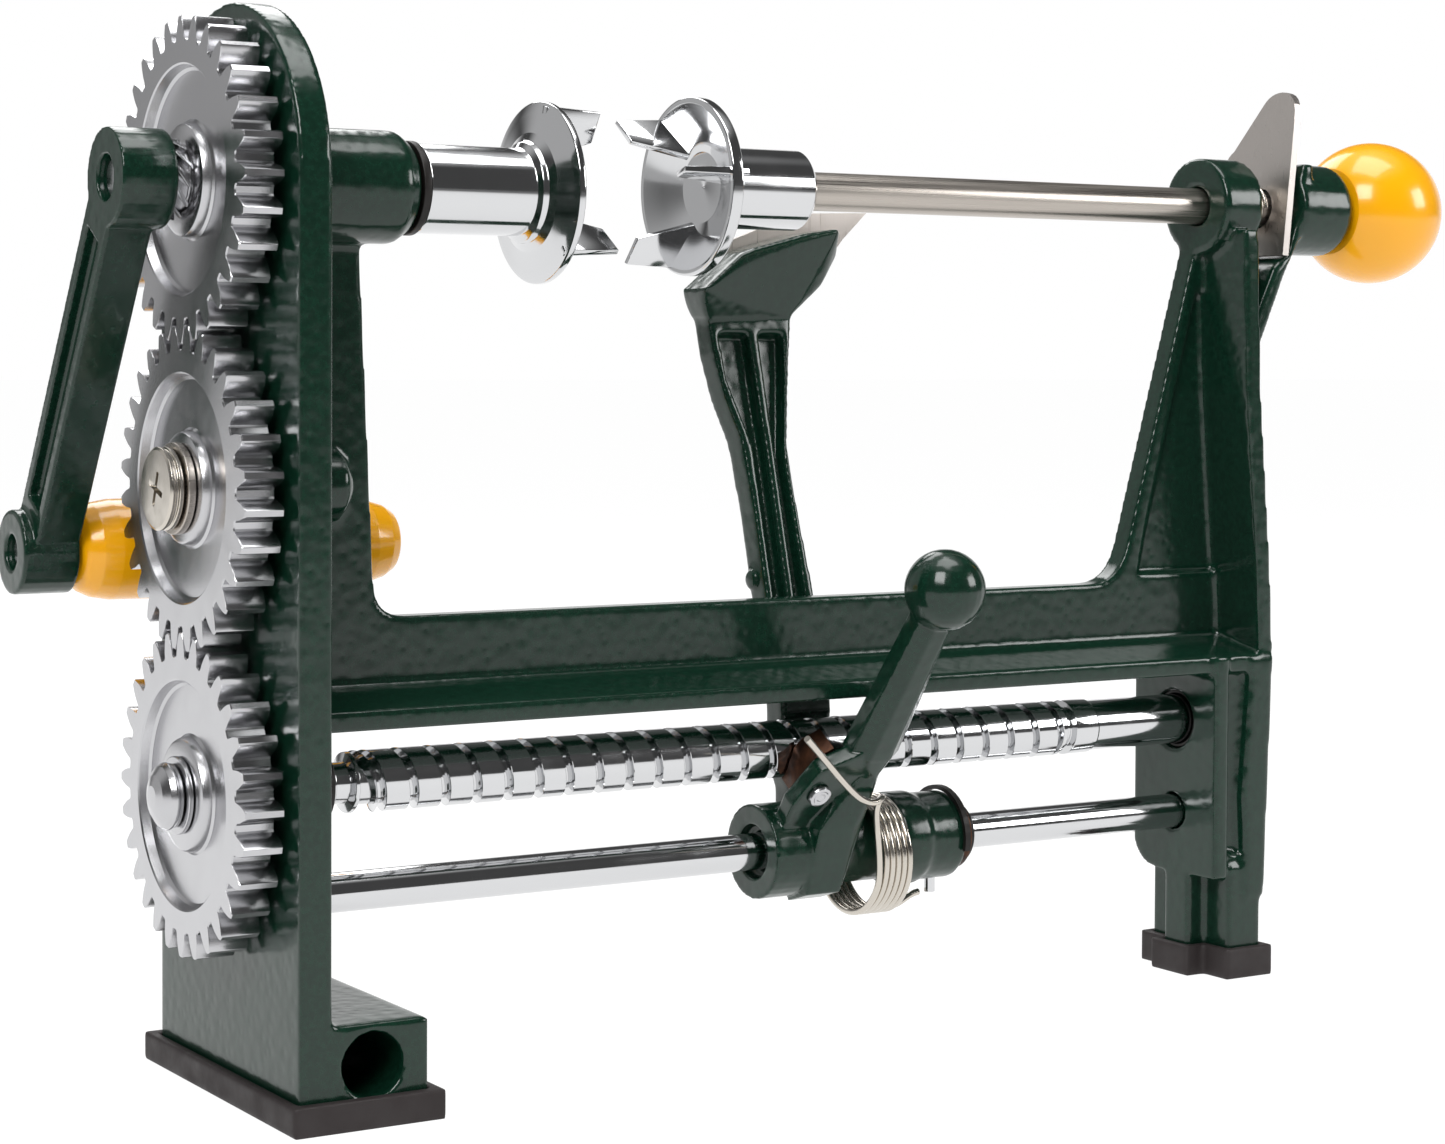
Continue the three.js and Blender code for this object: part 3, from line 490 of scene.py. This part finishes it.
def gear(name, node, body, z, bore, phase):
    """A gear with a flat rim, a dished face and a hub flush with the rim. The phase turns it by a share
    of a tooth."""
    x0, x1 = span_x(node)
    chamfer = 0.3
    rings = [
        (x0 + chamfer, bore), (x0, bore + chamfer),
        (x0, 12.0), (x0 + 0.3, 12.7), (x0 + 1.0, 13.1), (x0 + 2.3, 13.4), (x0 + 2.8, 14.0),
        (x0 + 2.8, 25.0), (x0 + 2.3, 25.7), (x0 + 0.3, 26.3), (x0, 26.7),
        (x0, None, chamfer), (x0 + chamfer, None, 0),
        (x1 - chamfer, None, 0), (x1, None, chamfer),
        (x1, bore + chamfer), (x1 - chamfer, bore),
    ]
    bm = bmesh.new()
    spun_grid(bm, gear_outline(phase), rings, z)
    finish_piece(new_object(name, bm), node, body, "zinc", sharp=28)


gear("top_gear", "spindle_gear", "spindle", SPINDLE_Z, 7 + CLEARANCE, 0)
gear("middle_gear", "idler_gear", "idler", IDLER_Z, 7 + CLEARANCE, 0.5)
gear("bottom_gear", "screw_gear", "screw", SCREW_Z, 6 + CLEARANCE, 0)


def toothed_washer():
    """The lock washer behind the crank's hub: a sleeve with a crown of slanted teeth."""
    x0, x1 = span_x("crank_washer")
    teeth, inner, outer, half, lean = 12, 7.0, 9.4, 0.85, 2.1
    bm = bmesh.new()
    lathe_into(bm, tube_profile(x0 + 0.4, x1, 5.4, 7.6), 0, SPINDLE_Z, 72, 0.2)
    for tooth in range(teeth):
        turn = 2 * math.pi * tooth / teeth

        def place(x, side, depth, turn=turn):
            """Along the axis, along the tooth's slant, and outwards."""
            slide = lean * (2 * (x - x0) / (x1 - x0) - 1) + side
            r = inner + depth
            a = turn + slide / outer
            return x, r * math.cos(a), SPINDLE_Z + r * math.sin(a)

        outline = [(x0, -half), (x0, half * 0.4), (x1 - 0.5, half), (x1, half * 0.2), (x1, -half),
                   (x0 + 0.5, -half * 1.1)]
        prism_into(bm, outline, place, outer - inner)
    washer = bevelled(new_object("toothed_washer", bm), 0.2, 2, 30)
    finish_piece(washer, "crank_washer", "spindle", "zinc", sharp=30)


toothed_washer()


# ------------------------------------------------------------------ spindle line
def thread_profile(x0, x1, crest, root, pitch):
    """Rings that read as a fine thread, from x0 to x1."""
    points = []
    x = x0
    while x + pitch <= x1:
        points += [(x, root), (x + pitch / 2, crest)]
        x += pitch
    return points


def spindle_parts():
    x0, x1 = span_x("spindle_shaft")
    thread_end, shoulder = -32, -27.6
    thread = thread_profile(x0 + 0.4, thread_end, STUB_R, 4.4, 1.25)
    profile = [(x0, 0), (x0, 4.2), *thread, (thread_end, STUB_R), (shoulder, STUB_R),
               (shoulder, SPINDLE_R), (x1, SPINDLE_R), (x1, 0)]
    shaft = turned("spindle", profile, 0, SPINDLE_Z, 64, 0.2)
    finish_piece(shaft, "spindle_shaft", "spindle", "zinc")
    low, high = span_x("spindle_bush")
    bore, outer, flange, collar = SPINDLE_R + CLEARANCE, 9.5, 11.3, high - 1.9
    bush = [(low, bore), (low, outer), (collar, outer), (collar, flange), (high, flange), (high, bore),
            (low, bore)]
    finish_piece(turned("bush", bush, 0, SPINDLE_Z), "spindle_bush", "frame", "black")


spindle_parts()


def prong_into(bm, z, degrees, foot, tip, inner, outer):
    """Adds a blade that stands along X on a fork's disc: wide foot, slanted tip, thin edges. It goes from
    x = foot to x = tip, and from the inner radius to the outer."""
    a = math.radians(degrees)
    radial = Vector((0, math.cos(a), math.sin(a)))
    across = Vector((0, -math.sin(a), math.cos(a)))
    centre = Vector((0, 0, z))
    half_foot, half_tip = 1.1, 0.75

    def corner(x, r, side):
        return bm.verts.new(Vector((x, 0, 0)) + centre + radial * r + across * side)

    slant = foot + (tip - foot) * 0.9  # where the inner edge ends
    ends = []
    for x_in, x_out, r_in, r_out, half in (
            (foot, foot, inner, outer, half_foot),
            (slant, tip, inner + 4.5, outer - 0.8, half_tip)):
        ends.append([corner(x_in, r_in, -half), corner(x_in, r_in, half),
                     corner(x_out, r_out, half), corner(x_out, r_out, -half)])
    low, high = ends
    bm.faces.new(low)
    bm.faces.new(reversed(high))
    for k in range(4):
        j = (k + 1) % 4
        bm.faces.new((low[k], low[j], high[j], high[k]))


def fork(name, node, body, z, profile, angles, shape):
    """A fork: a turned disc and tube, with a prong of one shape at each angle."""
    bm = bmesh.new()
    lathe_into(bm, profile, 0, z, 128, 0.6)
    finish_piece(new_object(name, bm), node, body, "chrome")
    blades = bmesh.new()
    for degrees in angles:
        prong_into(blades, z, degrees, *shape)
    blades = bevelled(new_object(name + "_prongs", blades), 0.3, 2, 20)
    finish_piece(blades, None, body, "chrome", sharp=40)


def drive_fork():
    x0, x1 = span_x("drive_fork")
    bore, tube, rim = SPINDLE_R + CLEARANCE, 10.7, 22.3
    profile = [
        (x0, bore), (x0, tube), (60.2, tube), (61.2, 12.2), (62.4, 12.6), (63.6, 14.6), (65.0, 19.6),
        (65.6, rim), (67.4, rim), (67.4, 20.8), (66.2, 17), (65.2, 8), (65.0, 0.1), (58, 0.1),
        (57.4, bore), (x0, bore),
    ]
    prong = (65, x1, 8.5, 21.5)
    fork("drive_fork_disc", "drive_fork", "spindle", SPINDLE_Z, profile, DRIVE_PRONGS, prong)


def tail_fork():
    x0, x1 = span_x("tail_fork")
    bore, tube, rim = TAIL_ROD_R + CLEARANCE, 10.3, 22.5
    profile = [
        (x1, bore), (x1, 9), (x1 - 1.4, tube), (117, tube), (115.2, 12), (112.4, 21.4), (111.6, rim),
        (108.7, rim), (108.7, 21), (111, 15), (113.4, 9), (114, 0.1), (115.5, 0.1), (115.6, bore),
        (x1, bore),
    ]
    prong = (114, x0, 9.5, 21.8)
    fork("tail_fork_disc", "tail_fork", "tail_fork", TAIL_Z, profile, TAIL_PRONGS, prong)


drive_fork()
tail_fork()


# ------------------------------------------------------------------ crank
cast("crank", "crank_arm", "spindle", 0.45, 5)


def grip_parts():
    x0, x1 = span_x("crank_grip")
    profile = [
        (x0, 4.3), (x0, 6.6), (x0 + 0.7, 8.4), (x0 + 2.4, 10.2), (x0 + 5.4, 11.6), (x0 + 10, 12.4),
        (x0 + 24, 12.6), (x0 + 40, 12), (x0 + 58, 11.3), (x1 - 14, 11.2), (x1 - 8, 10.8), (x1 - 3.4, 9.5),
        (x1 - 0.8, 7.9), (x1, 6.8), (x1 - 4.5, 6.8), (x1 - 4.5, 4.3), (x0, 4.3),
    ]
    grip = turned("grip", profile, GRIP_Y, GRIP_Z, 96, 2.0)
    finish_piece(grip, "crank_grip", "grip", "yellow", sharp=50)
    b0, b1 = span_x("grip_bolt")
    shank, head = 4.0, 6.5
    thread = thread_profile(b0 + 0.4, -36, shank, 3.5, 1.0)
    bolt = [(b0, 0), (b0, 3.2), *thread, (-35, shank), (b1 - 4, shank), (b1 - 4, head), (b1 - 1, head),
            (b1, 5), (b1, 0)]
    finish_piece(turned("grip_pin", bolt, GRIP_Y, GRIP_Z, 48, 0.2), "grip_bolt", "spindle", "zinc")


grip_parts()


# ------------------------------------------------------------------ idler and lead screw fixings
def carved(obj, tool):
    """The object with the tool's shape cut out of it."""
    knife = obj.modifiers.new("cut", "BOOLEAN")
    knife.operation = "DIFFERENCE"
    knife.solver = "EXACT"
    knife.object = tool
    baked(obj)
    bpy.data.objects.remove(tool)
    return obj


def cross_tool(x, z, turn):
    """A crosshead driver's tip: four tapering wings that go into a head from its face at x."""
    tool = bmesh.new()
    for quarter in range(4):
        a = math.radians(turn + 90 * quarter)
        wing = []
        for depth, reach, half in ((-1.0, 5.2, 0.75), (2.6, 1.6, 0.5)):
            for r, w in ((-0.2, -half), (reach, -half), (reach, half), (-0.2, half)):
                wing.append(tool.verts.new((x + depth, r * math.cos(a) - w * math.sin(a),
                                            z + r * math.sin(a) + w * math.cos(a))))
        tool.faces.new(wing[:4])
        tool.faces.new(reversed(wing[4:]))
        for k in range(4):
            j = (k + 1) % 4
            tool.faces.new((wing[k], wing[j], wing[j + 4], wing[k + 4]))
    made = new_object("cross_tool", tool)
    union = made.modifiers.new("join", "REMESH")
    union.mode = "VOXEL"
    union.voxel_size = 0.12 * MM
    return baked(made)


def idler_parts():
    x0, x1 = span_x("idler_screw")
    profile = [
        (x0, 0), (x0, 8.9), (x0 + 0.4, 9.6), (x0 + 1.1, 9.6), (x0 + 1.4, 9.1), (x0 + 1.9, 9.1),
        (x0 + 2.2, 9.6), (x0 + 3.0, 9.6), (x0 + 3.4, 9.2), (x0 + 3.4, IDLER_PIN_R), (x1, IDLER_PIN_R),
        (x1, 0),
    ]
    head = turned("idler_bolt", profile, 0, IDLER_Z, 72, 0.2)
    carved(head, cross_tool(x0, IDLER_Z, 20))
    finish_piece(head, "idler_screw", "frame", "nickel")
    bore = IDLER_PIN_R + CLEARANCE
    ring("idler_washer_ring", "idler_washer", "frame", "stainless", IDLER_Z, bore, 0.4)
    ring("idler_sleeve", "idler_bush", "frame", "bronze", IDLER_Z, bore, 0.2)


idler_parts()


def split_ring(name, node, body, z, inner, outer, slit, material, tilt=0.0):
    """A spring washer or clip: a ring with a slit, its ends set apart along X by tilt."""
    x0, x1 = span_x(node)
    bm = bmesh.new()
    steps = 72
    gap = slit / outer
    rows = []
    for k in range(steps + 1):
        a = math.pi / 2 + gap / 2 + (2 * math.pi - gap) * k / steps
        shift = tilt * (k / steps - 0.5)
        row = []
        for x, r in ((x0 + 0.1, inner), (x0, inner + 0.15), (x0, outer - 0.25), (x0 + 0.25, outer),
                     (x1 - 0.25, outer), (x1, outer - 0.25), (x1, inner + 0.15), (x1 - 0.1, inner)):
            row.append(bm.verts.new((x + shift, r * math.cos(a), z + r * math.sin(a))))
        rows.append(row)
    count = len(rows[0])
    for one, two in zip(rows, rows[1:]):
        for k in range(count):
            j = (k + 1) % count
            bm.faces.new((one[k], one[j], two[j], two[k]))
    bm.faces.new(rows[0])
    bm.faces.new(reversed(rows[-1]))
    finish_piece(new_object(name, bm), node, body, material)


def screw_fixings():
    x0, x1 = span_x("screw_bolt")
    shank = 3.0
    head = [(x0, 0), (x0 + 0.15, 2.6), (x0 + 0.9, 5), (x0 + 2.2, 7), (x0 + 3.4, 7.7), (x0 + 4, 7.8),
            (x0 + 4, shank), (x1, shank), (x1, 0)]
    finish_piece(turned("dome_bolt", head, 0, SCREW_Z, 72, 0.4), "screw_bolt", "screw", "zinc")
    bore = shank + CLEARANCE
    ring("flat_washer", "screw_flat_washer", "screw", "zinc", SCREW_Z, bore, 0.3)
    split_ring("spring_washer", "screw_spring_washer", "screw", SCREW_Z, bore, 7.4, 1.4, "zinc", 0.3)


screw_fixings()


# ------------------------------------------------------------------ lead screw and guide rod
def lead_screw():
    """The screw: square lands between narrow helical grooves, then a plain collar and shank."""
    pitch, groove, depth, crest = 8.5, 2.5, 1.9, 7.45
    start, end = 15.0, 226.0
    around = 72
    edges = [0.0, 0.12, 0.3, groove - 0.3, groove - 0.12, groove]  # across the groove
    drop = [0.0, 0.12, depth, depth, 0.12, 0.0]  # below the crest, at each edge
    bm = bmesh.new()

    def radius(x, a):
        into = ((x - start) - pitch * a / (2 * math.pi)) % pitch
        if into >= groove:
            return crest
        for k in range(len(edges) - 1):
            if into <= edges[k + 1]:
                t = (into - edges[k]) / (edges[k + 1] - edges[k])
                return crest - (drop[k] * (1 - t) + drop[k + 1] * t)
        return crest

    rows = []
    turns = int((end - start) / pitch)
    marks = edges + [groove + (pitch - groove) * k / 6 for k in range(1, 6)]
    for turn in range(turns + 1):
        for mark in marks:
            row = []
            for k in range(around):
                a = 2 * math.pi * k / around
                x = start + turn * pitch + mark + pitch * k / around
                x = min(max(x, start), end)
                r = radius(x, a)
                row.append(bm.verts.new((x, r * math.cos(a), SCREW_Z + r * math.sin(a))))
            rows.append(row)
    for one, two in zip(rows, rows[1:]):
        for k in range(around - 1):
            bm.faces.new((one[k], one[k + 1], two[k + 1], two[k]))
    count = len(marks)  # the seam joins each row to the one a turn further on
    for index in range(len(rows) - count - 1):
        seam_low, seam_high = rows[index + count], rows[index + count + 1]
        bm.faces.new((rows[index][-1], seam_low[0], seam_high[0], rows[index + 1][-1]))
    bmesh.ops.remove_doubles(bm, verts=bm.verts, dist=0.004)
    finish_piece(new_object("screw_thread", bm), None, "screw", "chrome", sharp=24)
    x0, x1 = span_x("lead_screw")
    inner, collar, shank = 5.5, 7.4, 6.9
    core = [
        (x0, 0), (x0, 6), (-16.6, 6), (-16.6, 6.5), (9.5, 6.5), (9.8, 5), (13.6, 5), (14.2, 7.2),
        (15.2, collar), (15.6, inner), (225.4, inner), (225.8, collar), (227, collar), (227.6, 5.7),
        (229.6, 5.7), (230.2, collar), (237.6, collar), (238.3, shank), (x1, shank), (x1, 0),
    ]
    finish_piece(turned("screw_core", core, 0, SCREW_Z, 96, 0.25), "lead_screw", "screw", "chrome")


def guide_rod():
    x0, x1 = span_x("guide_rod")
    profile = [(x0, 0), (x0, GUIDE_R), (x1, GUIDE_R), (x1, 0)]
    finish_piece(turned("slide_rod", profile, 0, GUIDE_Z), "guide_rod", "frame", "chrome")


lead_screw()
ring("left_screw_bush", "screw_bush", "frame", "black", SCREW_Z, 6.8, 0.2)
ring("right_screw_bush", "screw_end_bush", "frame", "black", SCREW_Z, 7.3, 0.2)
guide_rod()


# ------------------------------------------------------------------ knife carriage
def drawn_in(obj, start, floor, share, rise):
    """Draws the part of a casting left of start and above floor towards start, by a share of its distance
    from it. The share comes in over the first rise above the floor."""
    for vertex in obj.data.vertices:
        x, z = vertex.co.x / MM, vertex.co.z / MM
        if x < start and z > floor:
            vertex.co.x += (start - x) * share * min((z - floor) / rise, 1.0) * MM


def knife_casting():
    """The knife arm. Its head's left corner reaches too far in the CAD, and is drawn in."""
    arm = cast("knife_casting", "knife_arm", "knife", 0.55, 22)
    drawn_in(arm, start=150, floor=183, share=0.275, rise=8)


knife_casting()
cast("lever_casting", "release_lever", "lever", 0.45, 5)


def lever_point(x, reach, across):
    """A point by its distance from the guide rod along the lever, and across the lever's plane."""
    return Vector((x, across * math.cos(LEVER_LEAN) - reach * math.sin(LEVER_LEAN),
                   GUIDE_Z + reach * math.cos(LEVER_LEAN) + across * math.sin(LEVER_LEAN)))


def softened(name, node, body, material, width):
    """A small CAD piece with its edges broken."""
    finish_piece(bevelled(copy_of(node, name), width, 2, 35), node, body, material, sharp=40)


def half_nut_parts():
    """The bronze tongue that closes on the lead screw, and the rivet that holds it."""
    bm = bmesh.new()
    section = ((135.8, 18), (135.8, 24), (138.2, 30), (142.7, 33), (142.7, 18))
    front, back, foot_back = 0.9, 8.6, 11
    for x, reach in section:
        bm.verts.new(lever_point(x, reach, front))
        bm.verts.new(lever_point(x, reach, back if reach > 20 else foot_back))
    bmesh.ops.convex_hull(bm, input=bm.verts)
    tongue = new_object("nut_tongue", bm)
    screw_room, hub_room, x0, x1 = 8, 12.5, 125, 150
    for name, room, z in (("screw_room", screw_room, SCREW_Z), ("hub_room", hub_room, GUIDE_Z)):
        carved(tongue, turned(name, [(x0, 0), (x0, room), (x1, room), (x1, 0)], 0, z, 96, 0.01))
    finish_piece(bevelled(tongue, 0.25, 2, 40), "half_nut", "lever", "bronze", sharp=40)
    bm = bmesh.new()
    rivet_x, rivet_reach, shank = 139, 22.5, 2.1
    head = [(-6.1, 0), (-6.1, 0.9), (-5.8, 1.3), (-5.8, 1.8), (-6.1, 2.2), (-5.9, 2.9), (-5.4, 3.1),
            (-4.7, 3.1), (-4.7, shank), (4, shank), (4, 0)]
    lathe_into(bm, head, 0, 0, 48, 0.1)
    across = lever_point(0, 0, 1) - lever_point(0, 0, 0)
    bmesh.ops.rotate(bm, matrix=Vector((1, 0, 0)).rotation_difference(across).to_matrix(), verts=bm.verts)
    bmesh.ops.translate(bm, vec=lever_point(rivet_x, rivet_reach, 0), verts=bm.verts)
    finish_piece(new_object("nut_rivet", bm), "half_nut_rivet", "lever", "zinc")


softened("blade", "knife_blade", "knife", "plate_steel", 0.25)
softened("left_blade_screw", "blade_screw_left", "knife", "zinc", 0.35)
softened("right_blade_screw", "blade_screw_right", "knife", "zinc", 0.35)
half_nut_parts()
softened("spring_pin", "sleeve_pin", "knife", "chrome", 0.3)
ring("bronze_washer", "end_washer", "carriage", "bronze", GUIDE_Z, GUIDE_R + CLEARANCE, 0.3)
split_ring("clip", "retaining_clip", "carriage", GUIDE_Z, GUIDE_R + CLEARANCE, 8.0, 2.0, "black")
softened("band", "sleeve_band", "knife", "black", 0.2)


def torsion_spring():
    """Five turns that hang round the neck: one leg hooks round the lever's stem, one runs to the pin."""
    radius, pitch, turns, thickness = 15.2, 1.85, 5.25, 0.88
    start_x, coil_z = 159.4, GUIDE_Z - 3.2
    hook = ((125.8, 44.2, -7), (131, 39.5, -7.6), (138, 33, -8.6), (144.3, 27.5, -9.6),
            (148.5, 24.6, -10.4), (153, 23.2, -10.4), (156.2, 23.6, -9), (157.4, 22.2, -6.6))
    points = [lever_point(*place) for place in hook]
    points += [(157.4, -15.4, 56), (157.6, -15.7, 51), (158.4, -15.5, 46.5)]
    steps = 24
    for i in range(1, int(turns * steps) + 1):
        a = math.pi + 2 * math.pi * i / steps
        x = start_x + pitch * i / steps
        points.append((x, radius * math.cos(a), coil_z + radius * math.sin(a)))
    points += [(173, 1.0, 26.5), (177.5, 1.5, 27), (181, 1.5, 29.4), (183.4, 1.5, 29.6)]
    finish_piece(wire("spring_coil", points, thickness, 6), "torsion_spring", "lever", "nickel", sharp=0)


torsion_spring()


# ------------------------------------------------------------------ tailstock
def tail_parts():
    x0, x1 = span_x("tail_rod")
    rod = turned("rod", [(x0, 0), (x0, TAIL_ROD_R), (x1, TAIL_ROD_R), (x1, 0)], 0, TAIL_Z)
    finish_piece(rod, "tail_rod", "tailstock", "stainless")
    low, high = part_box("ball_knob")
    radius = (high.z - low.z) / (2 * MM)
    centre = high.x / MM - radius
    flat = low.x / MM
    start = math.acos((flat - centre) / radius)
    steps = 40
    arc = [start * (1 - k / steps) for k in range(steps)]
    bore = TAIL_ROD_R + CLEARANCE
    profile = [(centre + 1, 0.1), (flat + 4, bore), (flat, bore)]
    profile += [(centre + radius * math.cos(a), radius * math.sin(a)) for a in arc]
    profile += [(centre + radius, 0)]
    bm = bmesh.new()
    lathe_into(bm, profile, 0, TAIL_Z, 96, 0.3)
    finish_piece(new_object("ball", bm), "ball_knob", "tailstock", "yellow", sharp=60)


tail_parts()


def lock_parts():
    plate = copy_of("lock_plate", "latch")
    finish_piece(bevelled(plate, 0.35, 2, 50), "lock_plate", "lock", "plate_steel", sharp=35)
    points = []
    turns, steps = 3.5, 24
    start_x, length, radius, thickness = 291.3, 6.2, 6.6, 0.6
    for i in range(int(turns * steps) + 1):
        a = 2 * math.pi * i / steps
        x = start_x + length * i / (turns * steps)
        points.append((x, radius * math.cos(a), TAIL_Z + radius * math.sin(a)))
    finish_piece(wire("latch_spring", points, thickness, 6), "lock_spring", "frame", "nickel", sharp=0)


lock_parts()


# ------------------------------------------------------------------ studio
def ranged(tree, value, start, end, low, high):
    """A value that runs smoothly from low to high as another goes from start to end."""
    made = tree.nodes.new("ShaderNodeMapRange")
    made.interpolation_type = "SMOOTHSTEP"
    for name, number in (("From Min", start), ("From Max", end), ("To Min", low), ("To Max", high)):
        made.inputs[name].default_value = number
    tree.links.new(value, made.inputs["Value"])
    return made.outputs["Result"]


def product(tree, *values):
    """The product of several shader values."""
    result = values[0]
    for value in values[1:]:
        made = tree.nodes.new("ShaderNodeMath")
        made.operation = "MULTIPLY"
        tree.links.new(result, made.inputs[0])
        tree.links.new(value, made.inputs[1])
        result = made.outputs["Value"]
    return result


def sky():
    """The room, for the metal to mirror: white behind the peeler, bright overhead, grey to the left and
    towards its rear, and dark elsewhere."""
    world = bpy.data.worlds.new("studio")
    bpy.context.scene.world = world
    world.use_nodes = True
    tree = world.node_tree
    place = tree.nodes.new("ShaderNodeTexCoord")
    split = tree.nodes.new("ShaderNodeSeparateXYZ")
    tree.links.new(place.outputs["Generated"], split.inputs["Vector"])
    behind = product(
        tree,
        ranged(tree, split.outputs["Y"], -0.1, 0.45, 0, 1),
        ranged(tree, split.outputs["X"], -0.25, 0.2, 0, 1),
        ranged(tree, split.outputs["Z"], 0.2, 0.42, 1, 0))
    above = ranged(tree, split.outputs["Z"], 0.75, 0.95, 0.07, 0.7)
    left = product(
        tree,
        ranged(tree, split.outputs["X"], -0.45, -0.15, 0.52, 0),
        ranged(tree, split.outputs["Y"], 0.15, 0.55, 0.12, 1))
    room = tree.nodes.new("ShaderNodeMath")
    room.operation = "MAXIMUM"
    tree.links.new(above, room.inputs[0])
    tree.links.new(left, room.inputs[1])
    mix = tree.nodes.new("ShaderNodeMix")
    tree.links.new(behind, mix.inputs["Factor"])
    tree.links.new(room.outputs["Value"], mix.inputs["A"])
    mix.inputs["B"].default_value = 1.0
    tree.links.new(mix.outputs["Result"], tree.nodes["Background"].inputs["Color"])


def floor_paint():
    """A floor that shines white round the peeler, and fades to grey well in front of it and past its
    gear end."""
    paint = Material("floor_paint", (0.8, 0.8, 0.8, 1), 0.8)
    paint.shader.inputs["Specular IOR Level"].default_value = 0.0
    paint.shader.inputs["Emission Color"].default_value = (1, 1, 1, 1)
    tree = paint.tree
    split = tree.nodes.new("ShaderNodeSeparateXYZ")
    tree.links.new(paint.place.outputs["Object"], split.inputs["Vector"])
    near = product(
        tree,
        ranged(tree, split.outputs["Y"], -2.4, -0.9, 0.25, 1),
        ranged(tree, split.outputs["X"], -2.4, -0.9, 0.5, 1))
    tree.links.new(ranged(tree, near, 0, 1, 0, 0.95), paint.shader.inputs["Emission Strength"])
    tree.links.new(ranged(tree, near, 0, 1, 0.1, 0.14), paint.shader.inputs["Base Color"])
    return paint.material


LAMPS = (  # name, place in metres, width in metres, watts
    ("key", (-0.8, -0.8, 1.1), 0.7, 15),
    ("top", (0.2, -0.15, 1.5), 0.9, 11),
    ("fill", (1.2, -0.9, 0.6), 0.5, 6),
    ("back", (0.3, 1.1, 1.2), 0.8, 9),
)
LAMP_TARGET = Vector((0.15, 0, 0.12))
FLOOR_HALF = 20000


def studio():
    ground = bmesh.new()
    bmesh.ops.create_grid(ground, x_segments=1, y_segments=1, size=FLOOR_HALF)
    floor = new_object("floor", ground)
    floor.data.materials.append(floor_paint())
    sky()
    for name, place, width, power in LAMPS:
        light = bpy.data.lights.new(name, "AREA")
        light.size = width
        light.energy = power
        lamp = bpy.data.objects.new(name, light)
        lamp.location = place
        lamp.rotation_euler = (LAMP_TARGET - Vector(place)).to_track_quat("-Z", "Y").to_euler()
        bpy.context.scene.collection.objects.link(lamp)


studio()


def camera():
    """The eye stands in front of the gear end, a little below the spindle, and looks across the peeler."""
    data = bpy.data.cameras.new("camera")
    data.sensor_width = 36
    data.lens = 74.31
    data.shift_x = 0.0388
    data.shift_y = -0.0891
    eye = bpy.data.objects.new("camera", data)
    eye.location = (-0.2864, -0.6410, 0.1717)
    eye.rotation_euler = [math.radians(turn) for turn in (88.37, -0.23, -31.29)]
    bpy.context.scene.collection.objects.link(eye)
    bpy.context.scene.camera = eye


camera()
bpy.context.scene.view_settings.view_transform = "Standard"
